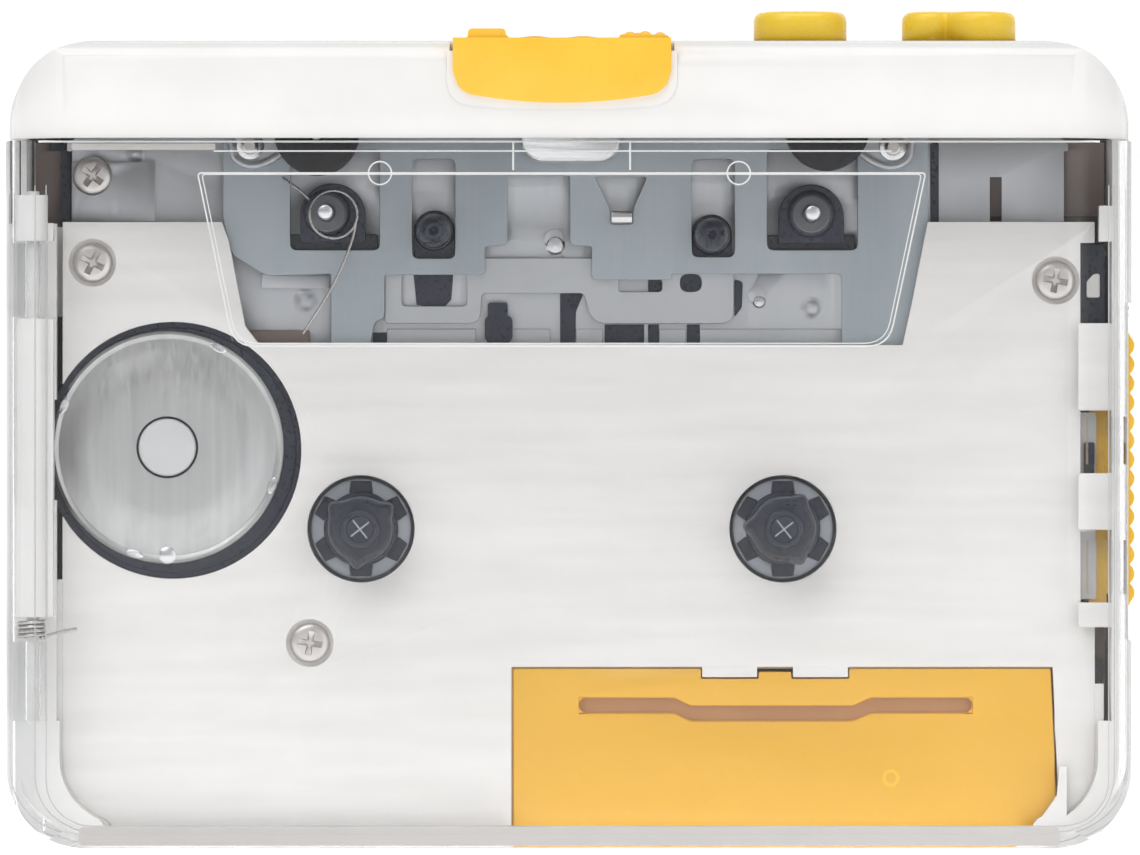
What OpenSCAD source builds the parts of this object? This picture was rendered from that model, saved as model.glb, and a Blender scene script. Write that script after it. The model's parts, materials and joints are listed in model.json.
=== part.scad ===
// Portable cassette player with a clear front door, standing upright with its keys on top.
// X runs to the right, Z runs up and the front faces -Y.
// The origin is the middle of the footprint, on the surface that the player stands on.

/* [Case] */
// Width of the white case across its side walls
case_w = 112.5; // [112:0.1:114]
// Height of the case without its keys
case_h = 81; // [80.8:0.1:82]
// Depth of the player from front to back
case_d = 33; // [33:0.1:35]
// Thickness of the white walls
wall = 1.6; // [1.3:0.1:1.7]
// Radius of the four corners seen from the front
corner_r = 8.5; // [8:0.1:9.5]
// Radius of the upright front edges
front_edge_r = 8; // [7:0.1:8.5]
// Radius of the edges round the back
rear_edge_r = 4; // [3:0.1:5]
// Radius of the front edge along the bottom and the top
sill_edge_r = 3; // [2.5:0.1:4]

/* [Door] */
// Width of the clear door
door_w = 113; // [112.8:0.1:113.4]
// Height of the top edge of the door
door_top_z = 70.8; // [70:0.1:70.9]
// Thickness of the front plate of the door
door_plate = 2; // [1.8:0.1:2.1]
// Thickness of the side walls of the door
door_wall = 1.3; // [1.1:0.1:1.4]
// Distance of the hinge axis from the left face of the door
hinge_inset = 2.9; // [2.8:0.05:3]
// Radius of the hinge knuckles and barrels
hinge_r = 1.4; // [1.3:0.05:1.45]

/* [Keys] */
// Height of the stop key and the play key above the case
key_rise = 3.2; // [3:0.1:4]
// Largest tilt of the centre key to each side, in degrees
rocker_tilt = 3; // [2:0.5:3]

/* [Tape drive] */
// Distance between the two reel spindles
hub_pitch = 42.5; // [42.3:0.1:42.7]
// Radius of the outer rim of each reel table
reel_rim_r = 9; // [8.8:0.05:9]
// Radius of the capstan shafts
capstan_r = 1; // [0.8:0.05:1]
// Radius of the flywheels
flywheel_r = 12.5; // [12:0.1:12.6]
// Radius of the pinch rollers
roller_r = 4.2; // [4:0.05:4.25]
// Radius of the motor can
motor_r = 11.9; // [11.5:0.1:11.9]

/* [Controls] */
// Radius of the volume wheel
volume_r = 8.4; // [8.2:0.05:8.45]
// Radius of the headphone plug hole
jack_bore_r = 1.8; // [1.75:0.01:1.85]

/* [Hidden] */
$fn = 96;

// Colours
shell_white = [0.95, 0.94, 0.93];
panel_white = [0.9, 0.89, 0.87];
sun_yellow = [1, 0.82, 0.3];
clear_plastic = [0.82, 0.85, 0.86, 0.35];
steel = [0.66, 0.68, 0.69];
pale_steel = [0.74, 0.75, 0.76];
dark_plastic = [0.16, 0.17, 0.2];
rubber_black = [0.12, 0.12, 0.13];
board_brown = [0.47, 0.38, 0.33];
brass_tone = [0.75, 0.62, 0.36];
grey_plastic = [0.78, 0.77, 0.75];

// Outer faces
half_w = case_w / 2;
half_d = case_d / 2;
half_door = door_w / 2;
lap = 0.05;          // overlap that joins two pieces of one solid
gap = 0.2;           // gap between neighbouring shells
cover_inset = 0.3;   // step between the top cover and the case behind it
cover_z = door_top_z + gap;

// Depth of each layer, from the front to the back
door_back_y = -6.6;
case_front_y = -6.4;
case_back_y = 8.9;
rear_front_y = 9;
panel_y = [-4.5, -2.9];
head_plate_y = [-2.7, -1.9];
lever_y = [-1.75, -1.05];
base_y = [-0.9, 0.1];
wheel_y = [1.2, 3.7];
reel_belt_y = [4.2, 5.8];
flywheel_y = [8.2, 11.2];
main_belt_y = [9.2, 10.2];
thrust_y = [11.6, 12.3];
board_y = [12.9, 14.3];

// Hinge
hinge_x = half_door - hinge_inset;
hinge_at = [-hinge_x, -9.5];
hinge_pin_r = 0.6;
hinge_pin_z = [12.3, 65.8];
hinge_bore_r = 0.62;
barrel_z = [[60.8, 65.4], [23.1, 53]];
knuckle_z = [[53.2, 60.6], [12.7, 20.6]];
hinge_spring_z = [20.8, 22.9];

// Places of the parts of the tape drive, as X and Z
hub_z = 31.9;
hub_x = 0.3;
hub_left = [hub_x - hub_pitch / 2, hub_z];
hub_right = [hub_x + hub_pitch / 2, hub_z];
capstan_left_at = [-24.4, 63.7];
capstan_right_at = [24.4, 63.6];
post_left_at = [-13.6, 61.9];
post_right_at = [14.4, 61.5];
motor_at = [-40.5, 40.1];
clutch_at = [hub_x, 49.15];
idler_at = [hub_x, hub_z];
pivot_left_at = [-32.1, 70.4];
pivot_right_at = [32.6, 70.3];
roller_left_at = [-25.3, 71.6];
roller_right_at = [25.9, 72.1];
volume_at = [48.3, 54.2];
jack_at = [-40, 4.85];

// Drive sizes
clutch_wheel_r = 6;
clutch_pulley_r = 7;
idler_r = 11.2;
hub_pulley_r = 3.5;
motor_pulley_r = 2.2;
groove_depth = 0.3;
belt_gap = 0.05;
belt_thickness = 0.6;
axle_r = 1;
bore_clearance = 0.03;

// Helper: a box from its low and high limits along each axis
module block(x, y, z) {
    translate([x[0], y[0], z[0]]) cube([x[1] - x[0], y[1] - y[0], z[1] - z[0]]);
}

// Helper: a round bar along Y, at a place given as X and Z
module bar(at, r, y) {
    translate([at[0], y[1], at[1]]) rotate([90, 0, 0]) cylinder(r = r, h = y[1] - y[0]);
}

// Helper: a flat drawn in X and Z, given a thickness along Y
module plate(y) {
    translate([0, y[1], 0]) rotate([90, 0, 0]) linear_extrude(y[1] - y[0]) children();
}

// Helper: a flat drawn in X and Y, given a height along Z
module upright(z) {
    translate([0, 0, z[0]]) linear_extrude(z[1] - z[0]) children();
}

// Helper: a flat drawn in Z and Y, given a length along X
module lengthwise(x) {
    translate([x[1], 0, 0]) rotate([0, -90, 0]) linear_extrude(x[1] - x[0]) children();
}

// Helper: a turned part along Y, drawn as radius and distance back from the front
module turned(at, front_y) {
    translate([at[0], front_y, at[1]]) rotate([-90, 0, 0]) rotate_extrude() children();
}

// Helper: a rectangle whose corners have one radius on its low side and another on its high side
module rounded_flat(x, y, r_low, r_high) {
    translate([x[0], y[0] + r_low]) square([x[1] - x[0], y[1] - y[0] - r_low - r_high]);
    translate([x[0] + r_low, y[0]]) square([x[1] - x[0] - 2 * r_low, r_low + lap]);
    translate([x[0] + r_high, y[1] - r_high - lap]) square([x[1] - x[0] - 2 * r_high, r_high + lap]);
    for (cx = [x[0] + r_low, x[1] - r_low]) translate([cx, y[0] + r_low]) circle(r_low);
    for (cx = [x[0] + r_high, x[1] - r_high]) translate([cx, y[1] - r_high]) circle(r_high);
}

// Helper: a straight slot with round ends, from one point to another
module slot_flat(a, b, r) {
    run = norm(b - a);
    translate(a) rotate(atan2(b[1] - a[1], b[0] - a[0])) {
        translate([0, -r]) square([run, 2 * r]);
        circle(r);
        translate([run, 0]) circle(r);
    }
}

// Helper: a rectangle given by its low and high limits
module flat(x, z) {
    translate([x[0], z[0]]) square([x[1] - x[0], z[1] - z[0]]);
}

// The outer form of the player, drawn in by an inset to give each shell its inner face
module player_form(inset, half_width, front_inset) {
    x = half_width - inset;
    front = -half_d + front_inset;
    back = half_d - inset;
    high = case_h - inset;
    intersection() {
        plate([front, back]) rounded_flat([-x, x], [inset, high], corner_r - inset, corner_r - inset);
        upright([-lap, case_h + lap])
            rounded_flat([-x, x], [front, back], front_edge_r - inset, rear_edge_r - inset);
        lengthwise([-x - lap, x + lap])
            rounded_flat([inset, high], [front, back], sill_edge_r - inset, rear_edge_r - inset);
    }
}

// Keeps the part behind the hinge axis inside a circle round it, so that the door can turn
module behind_hinge(r) {
    difference() {
        block([-half_w - wall, hinge_at[0]], [hinge_at[1], half_d], [-lap, case_h]);
        translate([hinge_at[0], hinge_at[1], -wall]) cylinder(r = r, h = case_h + 2 * wall);
    }
}

// A pan-head screw with a cross recess, its head facing -Y
screw_head_r = 2;
screw_head_h = 0.9;
screw_shank_r = 0.85;
screw_bore_r = 0.9;
recess_w = 0.55;
recess_depth = 0.5;
module screw(at, head_y, tip_y) {
    difference() {
        union() {
            bar(at, screw_head_r, [head_y, head_y + screw_head_h]);
            bar(at, screw_shank_r, [head_y + screw_head_h - lap, tip_y]);
        }
        for (turn = [0, 90])
            translate([at[0], head_y, at[1]]) rotate([0, turn + 45, 0])
                cube([screw_head_r * 1.3, 2 * recess_depth, recess_w], center = true);
    }
}

// White cover over the head, across the top of the front
rocker_mid = -0.7;
rocker_half = 10.9;
rocker_x = [rocker_mid - rocker_half, rocker_mid + rocker_half];
rocker_low_z = 74.5;
rocker_top_z = 81;
rocker_smile_r = 49.6;
rocker_corner_r = 2;
rocker_gap = 0.3;
rocker_front_y = -16.8;
rocker_plate_back_y = -15.1;
rocker_back_y = -9.6;
rocker_pivot_z = 76.3;
rocker_pin_r = 0.8;
rocker_rib_y = [-14.9, -13.8];
cover_tongues_x = [[-36, -26], [12.5, 17.5]];

// Height of the lower edge of the centre key: one wide arc that turns up into a corner at each end
function rocker_edge_z(dx) =
    let (into_corner = max(0, abs(dx) - rocker_half + rocker_corner_r))
    rocker_low_z + pow(dx, 2) / (2 * rocker_smile_r)
        + rocker_corner_r - sqrt(max(0, pow(rocker_corner_r, 2) - pow(into_corner, 2)));

// Front outline of the centre key, or of its opening when it is grown and given the tilt
module rocker_flat(grow, tilt, top_z) {
    steps = 24;
    spread = (rocker_half + grow) / rocker_half;
    lower_edge = [for (i = [-steps : steps])
        let (dx = i * rocker_half / steps)
        [rocker_mid + dx * spread, rocker_edge_z(dx) - abs(dx) * sin(tilt) - grow]];
    polygon(concat(lower_edge, [
        [rocker_mid + rocker_half * spread, top_z],
        [rocker_mid - rocker_half * spread, top_z]]));
}

module top_cover() {
    color(shell_white) union() {
        difference() {
            intersection() {
                player_form(cover_inset, half_w, cover_inset);
                block([-half_w, half_w], [-half_d, case_front_y], [cover_z, case_h]);
            }
            player_form(cover_inset + wall, half_w, cover_inset + wall);
            plate([rocker_front_y - wall, rocker_back_y + gap])
                rocker_flat(rocker_gap, rocker_tilt, case_h + wall);
        }
        // rib behind the centre key, with the pin that it rocks on
        block([rocker_x[0] - 2, rocker_x[1] + 2], rocker_rib_y, [rocker_low_z + gap, 78]);
        bar([rocker_mid, rocker_pivot_z], rocker_pin_r, [rocker_rib_y[0] - 0.9, rocker_rib_y[0] + lap]);
        for (x = cover_tongues_x)
            block(x, [case_front_y - 2, case_front_y + 3], [case_h - wall - 1.6, case_h - wall - gap]);
    }
}

// Middle of the case: the walls round the mechanism
boss_r = 2.3;
boss_at = [[-51.2, 76], [51.2, 76], [-52.6, 21.8], [52.6, 21.8]];
boss_y = [1, case_back_y];
rail_y = [case_front_y, -4.7];
rail_x = [-55, -51.5];
rail_z = [12.5, 62.6];
rail_slot = [[-52.9, -51], [34.8, 44.9]];
cover_corner = [[44.7, 0], [44.7, 1.5], [47.6, 3], [49.1, 5.1], [49.3, 8], [50, 8], [50, 0]];
web_x = [hinge_at[0] + 0.2, hinge_at[0] + 1.9];
stop_key_x = [18.7, 28.1];
play_key_x = [33.7, 45.2];
key_y = [-1.9, 5.6];
key_hole_gap = 0.25;
slider_y = [-5.4, 0.2];
slider_z = [24.2, 51.6];
slider_travel = 3;
slider_neck_z = [30, 45];
slider_neck_y = [-3, -1.4];
cover_x = [-5.6, 49.1];
cover_floor_x = 44.7;
cover_floor_y = 7.4;
wheel_slot_y = [0.9, 4];
liner_x = [[-half_w, cover_x[0] - gap], [cover_floor_x, half_w]];
liner_z = [0, 12.6];

module key_flat(x, grow) {
    r = (key_y[1] - key_y[0]) / 2 + grow;
    mid_y = (key_y[0] + key_y[1]) / 2;
    slot_flat([x[0] - grow + r, mid_y], [x[1] + grow - r, mid_y], r);
}

module mid_case() {
    color(shell_white) difference() {
        union() {
            difference() {
                intersection() {
                    player_form(0, half_w, 0);
                    block([-half_w - lap, half_w + lap], [case_front_y, case_back_y], [-lap, case_h + lap]);
                }
                player_form(wall, half_w, wall);
            }
            for (at = boss_at) bar(at, boss_r, boss_y);
            block(rail_x, rail_y, rail_z);
            for (z = barrel_z) {
                translate([hinge_at[0], hinge_at[1], z[0]]) cylinder(r = hinge_r, h = z[1] - z[0]);
                block(web_x, [hinge_at[1], rail_y[0] + lap], [z[0], min(z[1], rail_z[1])]);
            }
            // block beside the window of the volume wheel
            block([53.3, half_w - lap], rail_y, [60.8, 64.4]);
            // liner between the panel and the walls at the two lower corners
            intersection() {
                player_form(wall / 2, half_w, wall / 2);
                plate(rail_y) difference() {
                    for (x = liner_x) flat(x, liner_z);
                    rounded_flat([panel_x[0] - gap, panel_x[1] + gap], [panel_z[0] - gap, panel_z[1]],
                        panel_corner_r + gap, gap);
                    cover_flat(gap);
                }
            }
            // corner in front of the battery cover
            intersection() {
                player_form(wall / 2, half_w, wall / 2);
                plate([case_front_y, panel_y[0] - gap]) polygon(cover_corner);
            }
        }
        for (at = boss_at) bar(at, screw_bore_r, [3, case_back_y + lap]);
        for (z = barrel_z)
            translate([hinge_at[0], hinge_at[1], z[0] - lap])
                cylinder(r = hinge_bore_r, h = z[1] - z[0] + 2 * lap);
        block(rail_slot[0], [rail_y[0] - lap, rail_y[1] + lap], rail_slot[1]);
        for (x = [stop_key_x, play_key_x])
            upright([case_h - 2 * wall, case_h + lap]) key_flat(x, key_hole_gap);
        translate([jack_at[0], jack_at[1], case_h - 2 * wall]) cylinder(r = 2.6, h = 3 * wall);
        // recess and slot of the door slider
        block([half_w - 0.6, half_w + wall], [slider_y[0] - gap, slider_y[1] + gap],
            [slider_z[0] - slider_travel - gap, slider_z[1] + gap]);
        block([half_w - 2 * wall, half_w], [slider_neck_y[0] - gap, slider_neck_y[1] + gap],
            [slider_neck_z[0] - slider_travel - gap, slider_neck_z[1] + gap]);
        bar(volume_at, volume_r + 0.4, wheel_slot_y);
        // opening that the battery cover slides out through
        block([cover_x[0] - gap, cover_floor_x + gap], [case_front_y - lap, cover_floor_y + gap],
            [-lap, 2 * wall]);
        block([cover_floor_x, cover_x[1] + gap], [panel_y[0] - gap, panel_y[1] + gap], [-lap, 2 * wall]);
    }
}

// Back shell
module rear_cover() {
    boss_back_y = half_d - wall;
    color(shell_white) difference() {
        union() {
            difference() {
                intersection() {
                    player_form(0, half_w, 0);
                    block([-half_w - lap, half_w + lap], [rear_front_y, half_d + lap], [-lap, case_h + lap]);
                }
                player_form(wall, half_w, wall);
            }
            for (at = boss_at) bar(at, boss_r, [rear_front_y, boss_back_y + lap]);
        }
        for (at = boss_at) {
            bar(at, screw_bore_r, [rear_front_y - lap, half_d + lap]);
            bar(at, screw_head_r + gap, [half_d - 1.9, half_d + lap]);
        }
    }
}

// White panel of the cassette bay
panel_x = [-51, 53];
panel_z = [2.3, 62.8];
panel_corner_r = 6.5;
bay_window = [[-35.05, 63], [-34.3, 61], [-32.6, 52.3], [-31.3, 50.6], [33.6, 50.4], [34.6, 55], [36.15, 63]];
spindle_hole_r = 5.4;
motor_hole_at = [-39.9, 39.8];
motor_hole_r = 12.95;
volume_window = [[51.5, 54], [52.2, 60.7]];
hook_windows_z = [[36.5, 44], [23.5, 31.6]];
panel_screw_at = [[-48, 58.7], [-26.1, 20.4], [49, 56.9]];
panel_screw_hole_r = 2.4;
counterbore_depth = 1;
cover_top_z = 17.8;

// Front outline of the battery cover, grown all round to give the opening that it fits
module cover_flat(grow) {
    polygon([
        [cover_x[0] - grow, 0.1 - grow], [cover_x[0] - grow, cover_top_z + grow],
        [48.5 + grow, cover_top_z + grow], [cover_x[1] + grow, 5.1], [cover_x[1] + grow, 0.4 - grow],
        [cover_floor_x + grow, 0.1 - grow]]);
}

module bay_panel() {
    color(panel_white) difference() {
        plate(panel_y) difference() {
            rounded_flat(panel_x, panel_z, panel_corner_r, lap);
            polygon(bay_window);
            for (at = [hub_left, hub_right]) translate(at) circle(spindle_hole_r);
            translate(motor_hole_at) circle(motor_hole_r);
            flat(volume_window[0], volume_window[1]);
            for (z = hook_windows_z) flat([51.5, 54], z);
            cover_flat(gap);
            for (at = panel_screw_at) translate(at) circle(1);
        }
        for (at = panel_screw_at)
            bar(at, panel_screw_hole_r, [panel_y[0] - lap, panel_y[0] + counterbore_depth]);
    }
}

// Clear door
door_front_y = -half_d;
door_inner_y = door_front_y + door_plate;
flange_z = [69.7, 70.7];
flange_back_y = -13.3;
head_notch_x = [-5.6, 6.1];
notch_rib_z = 68.1;
step_outline = [[-37.1, 67.5], [35.6, 67.5], [31.9, 50.2], [-33.5, 50.2]];
step_depth = 0.8;
hook_x = [52, 54.1];
hook_root_y = [-9.5, -7.5];
hook_tip_y = -3;
hook_z = [[38.4, 43.2], [25.4, 30.8]];
hook_lip = 1.2;
hook_lip_y = -4.1;
recess_x = 0.6;
recess_y = -12;
recess_z = [20.8, 54.6];
locator_r = 1.15;
locator_at = [[-18.9, 67.5], [16.95, 67.5]];

module door_shell_form() {
    difference() {
        intersection() {
            player_form(0, half_door, 0);
            block([-half_door - lap, half_door + lap], [-half_d - lap, door_back_y], [-lap, door_top_z]);
        }
        behind_hinge(hinge_inset);
    }
}

module door_hollow() {
    inner_r = front_edge_r - door_wall;
    x = half_door - door_wall;
    difference() {
        intersection() {
            upright([wall, door_top_z + lap])
                rounded_flat([-x, x], [door_inner_y, half_d], inner_r, rear_edge_r);
            plate([-half_d, half_d])
                rounded_flat([-x, x], [wall, case_h], corner_r - door_wall, corner_r - door_wall);
        }
        behind_hinge(hinge_inset - door_wall);
    }
}

module door() {
    stops = concat(barrel_z, [hinge_spring_z]);
    barrel_room_x = 3;
    foot_x = [41, 44.5];
    foot_y = [-14.6, -13.6];
    foot_top_z = 2.6;
    color(clear_plastic) difference() {
        union() {
            difference() {
                door_shell_form();
                door_hollow();
                translate([hinge_at[0], hinge_at[1], wall])
                    cylinder(r = hinge_inset - door_wall, h = case_h);
                plate([door_inner_y - step_depth, door_inner_y + lap]) polygon(step_outline);
            }
            // flange along the top edge, broken by a notch for the tape head
            difference() {
                intersection() {
                    door_shell_form();
                    block([-half_door, half_door], [door_inner_y - lap, flange_back_y], flange_z);
                }
                block(head_notch_x, [door_inner_y, 0], [flange_z[0] - lap, flange_z[1] + lap]);
            }
            for (x = head_notch_x)
                block([x - 0.4, x + 0.4], [door_inner_y - step_depth - lap, flange_back_y],
                    [notch_rib_z, flange_z[0] + lap]);
            // studs that hold the cassette's top edge
            for (at = locator_at) bar(at, locator_r, [door_inner_y - step_depth - lap, flange_back_y]);
            for (z = knuckle_z) {
                translate([hinge_at[0], hinge_at[1], z[0]]) cylinder(r = hinge_r, h = z[1] - z[0]);
                block([-half_door + door_wall - lap, hinge_at[0]], [hinge_at[1] - 0.7, hinge_at[1] + 0.7], z);
            }
            for (z = hook_z) {
                block(hook_x, [hook_root_y[0], hook_tip_y], z);
                block(hook_x, [hook_lip_y, hook_tip_y], [z[0] - hook_lip, z[0] + lap]);
                block([hook_x[0], half_door - door_wall / 2], hook_root_y, z);
            }
            // feet under the plate that hold it off the case
            block(foot_x, foot_y, [wall - lap, foot_top_z]);
        }
        for (z = knuckle_z)
            translate([hinge_at[0], hinge_at[1], z[0] - lap])
                cylinder(r = hinge_bore_r, h = z[1] - z[0] + 2 * lap);
        // finger recess beside the slider
        block([half_door - recess_x, half_door + lap], [recess_y, door_back_y + lap], recess_z);
        // room for the barrels, their webs and the spring
        for (z = stops)
            block([-half_door - lap, hinge_at[0] + barrel_room_x], [hinge_at[1] - 0.01, half_d],
                [z[0] - gap / 2, z[1] + gap / 2]);
    }
}

module hinge_pin() {
    color(panel_white) translate([hinge_at[0], hinge_at[1], hinge_pin_z[0]])
        cylinder(r = hinge_pin_r, h = hinge_pin_z[1] - hinge_pin_z[0]);
}

module hinge_spring() {
    coil_r = 1.35;
    coil_bore_r = 0.75;
    coil_length = hinge_spring_z[1] - hinge_spring_z[0];
    leg_r = 0.25;
    leg_z = 21.8;
    leg_length = 3.4;
    color(steel) {
        difference() {
            translate([hinge_at[0], hinge_at[1], hinge_spring_z[0]]) cylinder(r = coil_r, h = coil_length);
            translate([hinge_at[0], hinge_at[1], hinge_spring_z[0] - lap])
                cylinder(r = coil_bore_r, h = coil_length + 2 * lap);
        }
        translate([hinge_at[0] + 1.1, hinge_at[1] + 0.7, leg_z]) rotate([0, 90, 0])
            cylinder(r = leg_r, h = leg_length);
    }
}

// Yellow cover of the battery bay, wrapped under the bottom
cover_notch_x = [13.3, 28.2];
cover_tab_x = [19.1, 22.4];
cover_notch_z = 16.8;
grip_groove = [[1, 14.9], [10.6, 14.9], [12.2, 14.1], [28.6, 14.1], [30.4, 14.9], [40.6, 14.9],
    [40.6, 13.3], [30.4, 13.3], [28.6, 12.5], [12.2, 12.5], [10.6, 13.3], [1, 13.3]];
grip_depth = 0.8;

module battery_cover() {
    color(sun_yellow) difference() {
        union() {
            plate(panel_y) cover_flat(0);
            block([cover_x[0], cover_floor_x], [panel_y[0], cover_floor_y], [0.1, wall]);
        }
        difference() {
            block(cover_notch_x, [panel_y[0] - lap, panel_y[1] + lap], [cover_notch_z, cover_top_z + lap]);
            block(cover_tab_x, [panel_y[0] - 2 * lap, panel_y[1] + 2 * lap],
                [cover_notch_z - lap, cover_top_z - 0.3]);
        }
        plate([panel_y[0] - lap, panel_y[0] + grip_depth]) polygon(grip_groove);
    }
}

// Tray for two AA cells, end to end along the bottom
tray_x = [-53.9, 53.9];
tray_y = [-2.7, 12.85];
tray_z = [1.8, 18.7];
tray_wall = 0.8;
cell_r = 7.1;
cell_mid = [4.9, 10.4];
cell_length = 50.4;
cell_ends_x = [-49.4, 1.1];

module battery_tray() {
    color(dark_plastic) intersection() {
        difference() {
            block(tray_x, tray_y, tray_z);
            block([tray_x[0] + tray_wall, tray_x[1] - tray_wall], [tray_y[0] - lap, tray_y[1] - tray_wall],
                [tray_z[0] + tray_wall, tray_z[1] - tray_wall]);
            block([cover_x[0] - gap, cover_floor_x + gap], [tray_y[0] - lap, cover_floor_y + gap],
                [tray_z[0] - lap, 2 * wall]);
        }
        player_form(wall + gap / 2, half_w, wall + gap / 2);
    }
}

module battery_cells() {
    nub_r = 2.6;
    nub_h = 1;
    color(grey_plastic) for (x = cell_ends_x) {
        translate([x, cell_mid[0], cell_mid[1]]) rotate([0, 90, 0]) {
            cylinder(r = cell_r, h = cell_length - nub_h);
            translate([0, 0, cell_length - nub_h - lap]) cylinder(r = nub_r, h = nub_h + lap);
        }
    }
}

module battery_spring() {
    color(steel) translate([tray_x[0] + tray_wall, cell_mid[0], cell_mid[1]]) rotate([0, 90, 0])
        difference() {
            cylinder(r = 3.4, h = cell_ends_x[0] - tray_x[0] - tray_wall);
            translate([0, 0, -lap]) cylinder(r = 2.6, h = 6);
        }
}

module battery_contact() {
    cell_tip_x = cell_ends_x[1] + cell_length;
    leaf_t = 0.5;
    pad_half = 4;
    color(steel) {
        block([cell_tip_x, cell_tip_x + leaf_t], [cell_mid[0] - pad_half, cell_mid[0] + pad_half],
            [cell_mid[1] - pad_half, cell_mid[1] + pad_half]);
        block([cell_tip_x + leaf_t - 0.1, tray_x[1] - tray_wall], [cell_mid[0] - 3, cell_mid[0] + 3],
            [cell_mid[1] + 3, cell_mid[1] + 3.6]);
    }
}

// Yellow slider that opens the door
slider_skin_x = [half_w - 0.5, half_w + 0.2];
rib_count = 14;
rib_pitch = 1.81;
rib_h = 0.5;
rib_w = 0.9;
slider_plate_x = [52.4, 54.4];
slider_plate_y = [-2.7, -1.4];
finger_z = [[35.6, 37], [22.6, 24]];

module latch_slider() {
    color(sun_yellow) union() {
        block(slider_skin_x, slider_y, slider_z);
        for (i = [0 : rib_count - 1]) {
            z = slider_z[0] + 1.5 + i * rib_pitch;
            block([slider_skin_x[1] - lap, slider_skin_x[1] + rib_h], slider_y, [z, z + rib_w]);
        }
        block([slider_plate_x[1] - lap, slider_skin_x[0] + lap], slider_neck_y, slider_neck_z);
        block(slider_plate_x, slider_plate_y, [22.6, 46]);
        for (z = finger_z)
            block([53.4, 54.4], [-5.2, slider_plate_y[0] + lap], z);
    }
}

module latch_spring() {
    color(steel) translate([53.4, -2, 46.2]) difference() {
        cylinder(r = 0.9, h = 6);
        translate([0, 0, -lap]) cylinder(r = 0.5, h = 7);
    }
}

// Yellow keys on the top
key_flange_z = [77.9, 79.1];
key_stem_z = 71.5;
key_stem_y = [0.7, 2.3];
key_spring_z = 74.6;
key_top_z = case_h + key_rise;

module key_body(x) {
    mid = (x[0] + x[1]) / 2;
    union() {
        upright([key_flange_z[1] - lap, key_top_z]) key_flat(x, 0);
        upright(key_flange_z) key_flat(x, 0.8);
        block([mid - 1.6, mid + 1.6], key_stem_y, [key_stem_z, key_flange_z[0] + lap]);
    }
}

module key_spring(x) {
    mid = (x[0] + x[1]) / 2;
    color(steel) translate([mid, (key_stem_y[0] + key_stem_y[1]) / 2, key_spring_z]) difference() {
        cylinder(r = 2.7, h = key_flange_z[0] - key_spring_z);
        translate([0, 0, -lap]) cylinder(r = 2.1, h = 8);
    }
}

module stop_key() {
    color(sun_yellow) key_body(stop_key_x);
}

module play_key() {
    color(sun_yellow) key_body(play_key_x);
}

module stop_key_spring() {
    key_spring(stop_key_x);
}

module play_key_spring() {
    key_spring(play_key_x);
}

rocker_bumps = [[-8.1, 78.4, 3.4], [7, 77.6, 3.9]];

module seek_rocker() {
    color(sun_yellow) difference() {
        union() {
            plate([rocker_front_y, rocker_plate_back_y]) rocker_flat(0, 0, rocker_top_z);
            block(rocker_x, [rocker_front_y + 1, rocker_back_y], [79.2, rocker_top_z]);
            for (b = rocker_bumps)
                intersection() {
                    bar([b[0], b[1]], b[2], [rocker_front_y + 0.8, rocker_back_y]);
                    block(rocker_x, [rocker_front_y, rocker_back_y], [79.3, rocker_top_z + wall]);
                }
        }
        bar([rocker_mid, rocker_pivot_z], rocker_pin_r + bore_clearance,
            [rocker_plate_back_y - 0.9, rocker_plate_back_y + lap]);
    }
}

// Volume wheel and the pot that it turns
volume_y = [1.2, 3.7];

module volume_wheel() {
    color(dark_plastic) union() {
        bar(volume_at, volume_r, volume_y);
        bar(volume_at, 1.5, [volume_y[1] - lap, 7]);
    }
}

module volume_pot() {
    color(board_brown) difference() {
        block([43, 53.6], [4.1, 8], [49, 59.4]);
        bar(volume_at, 1.5 + bore_clearance, [4, 7.3]);
    }
}

module headphone_jack() {
    color(dark_plastic) difference() {
        union() {
            block([-43.4, -36.6], [1.75, 7.95], [66.5, 79.3]);
            translate([jack_at[0], jack_at[1], 79.2]) cylinder(r = 2.5, h = case_h - 79.2);
        }
        translate([jack_at[0], jack_at[1], 66.9]) cylinder(r = jack_bore_r, h = 15);
    }
}

// Small boards beside the mechanism
corner_board_y = [0.4, 1.6];

module jack_board() {
    color(board_brown) difference() {
        block([-54.4, -37], corner_board_y, [60, 70.9]);
        bar(chassis_screw_at[0], 1.1, [0, 2]);
    }
}

module volume_board() {
    color(board_brown) block([42.3, 54.4], corner_board_y, [63.4, 70.9]);
}

module circuit_board() {
    color(board_brown) difference() {
        block([-47, 47], board_y, [21, 78]);
        for (x = [-44, 44], z = [24, 75]) bar([x, z], 1.2, [board_y[0] - 1, board_y[1] + 1]);
    }
}

component_cans = [[-15, 28, 2.5], [-6, 26, 2], [8, 27, 3.1], [22, 29, 2.5], [30, 27, 2]];

module board_components() {
    color(dark_plastic) {
        for (c = component_cans) bar([c[0], c[1]], c[2], [7.2, board_y[0]]);
        block([-4, 10], [11, board_y[0]], [33, 41]);
        block([20, 30], [11.2, board_y[0]], [36, 44]);
        block([-30, -22], [11, board_y[0]], [24, 28]);
    }
}

// Black frame that carries the steel base plate
frame_y = [0.3, 7.5];
frame_behind_board_y = 1.8;
frame_gap = 0.5;
chassis_screw_at = [[-48.1, 67.5], [-46.8, 27.2], [47.6, 27.2]];

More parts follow.
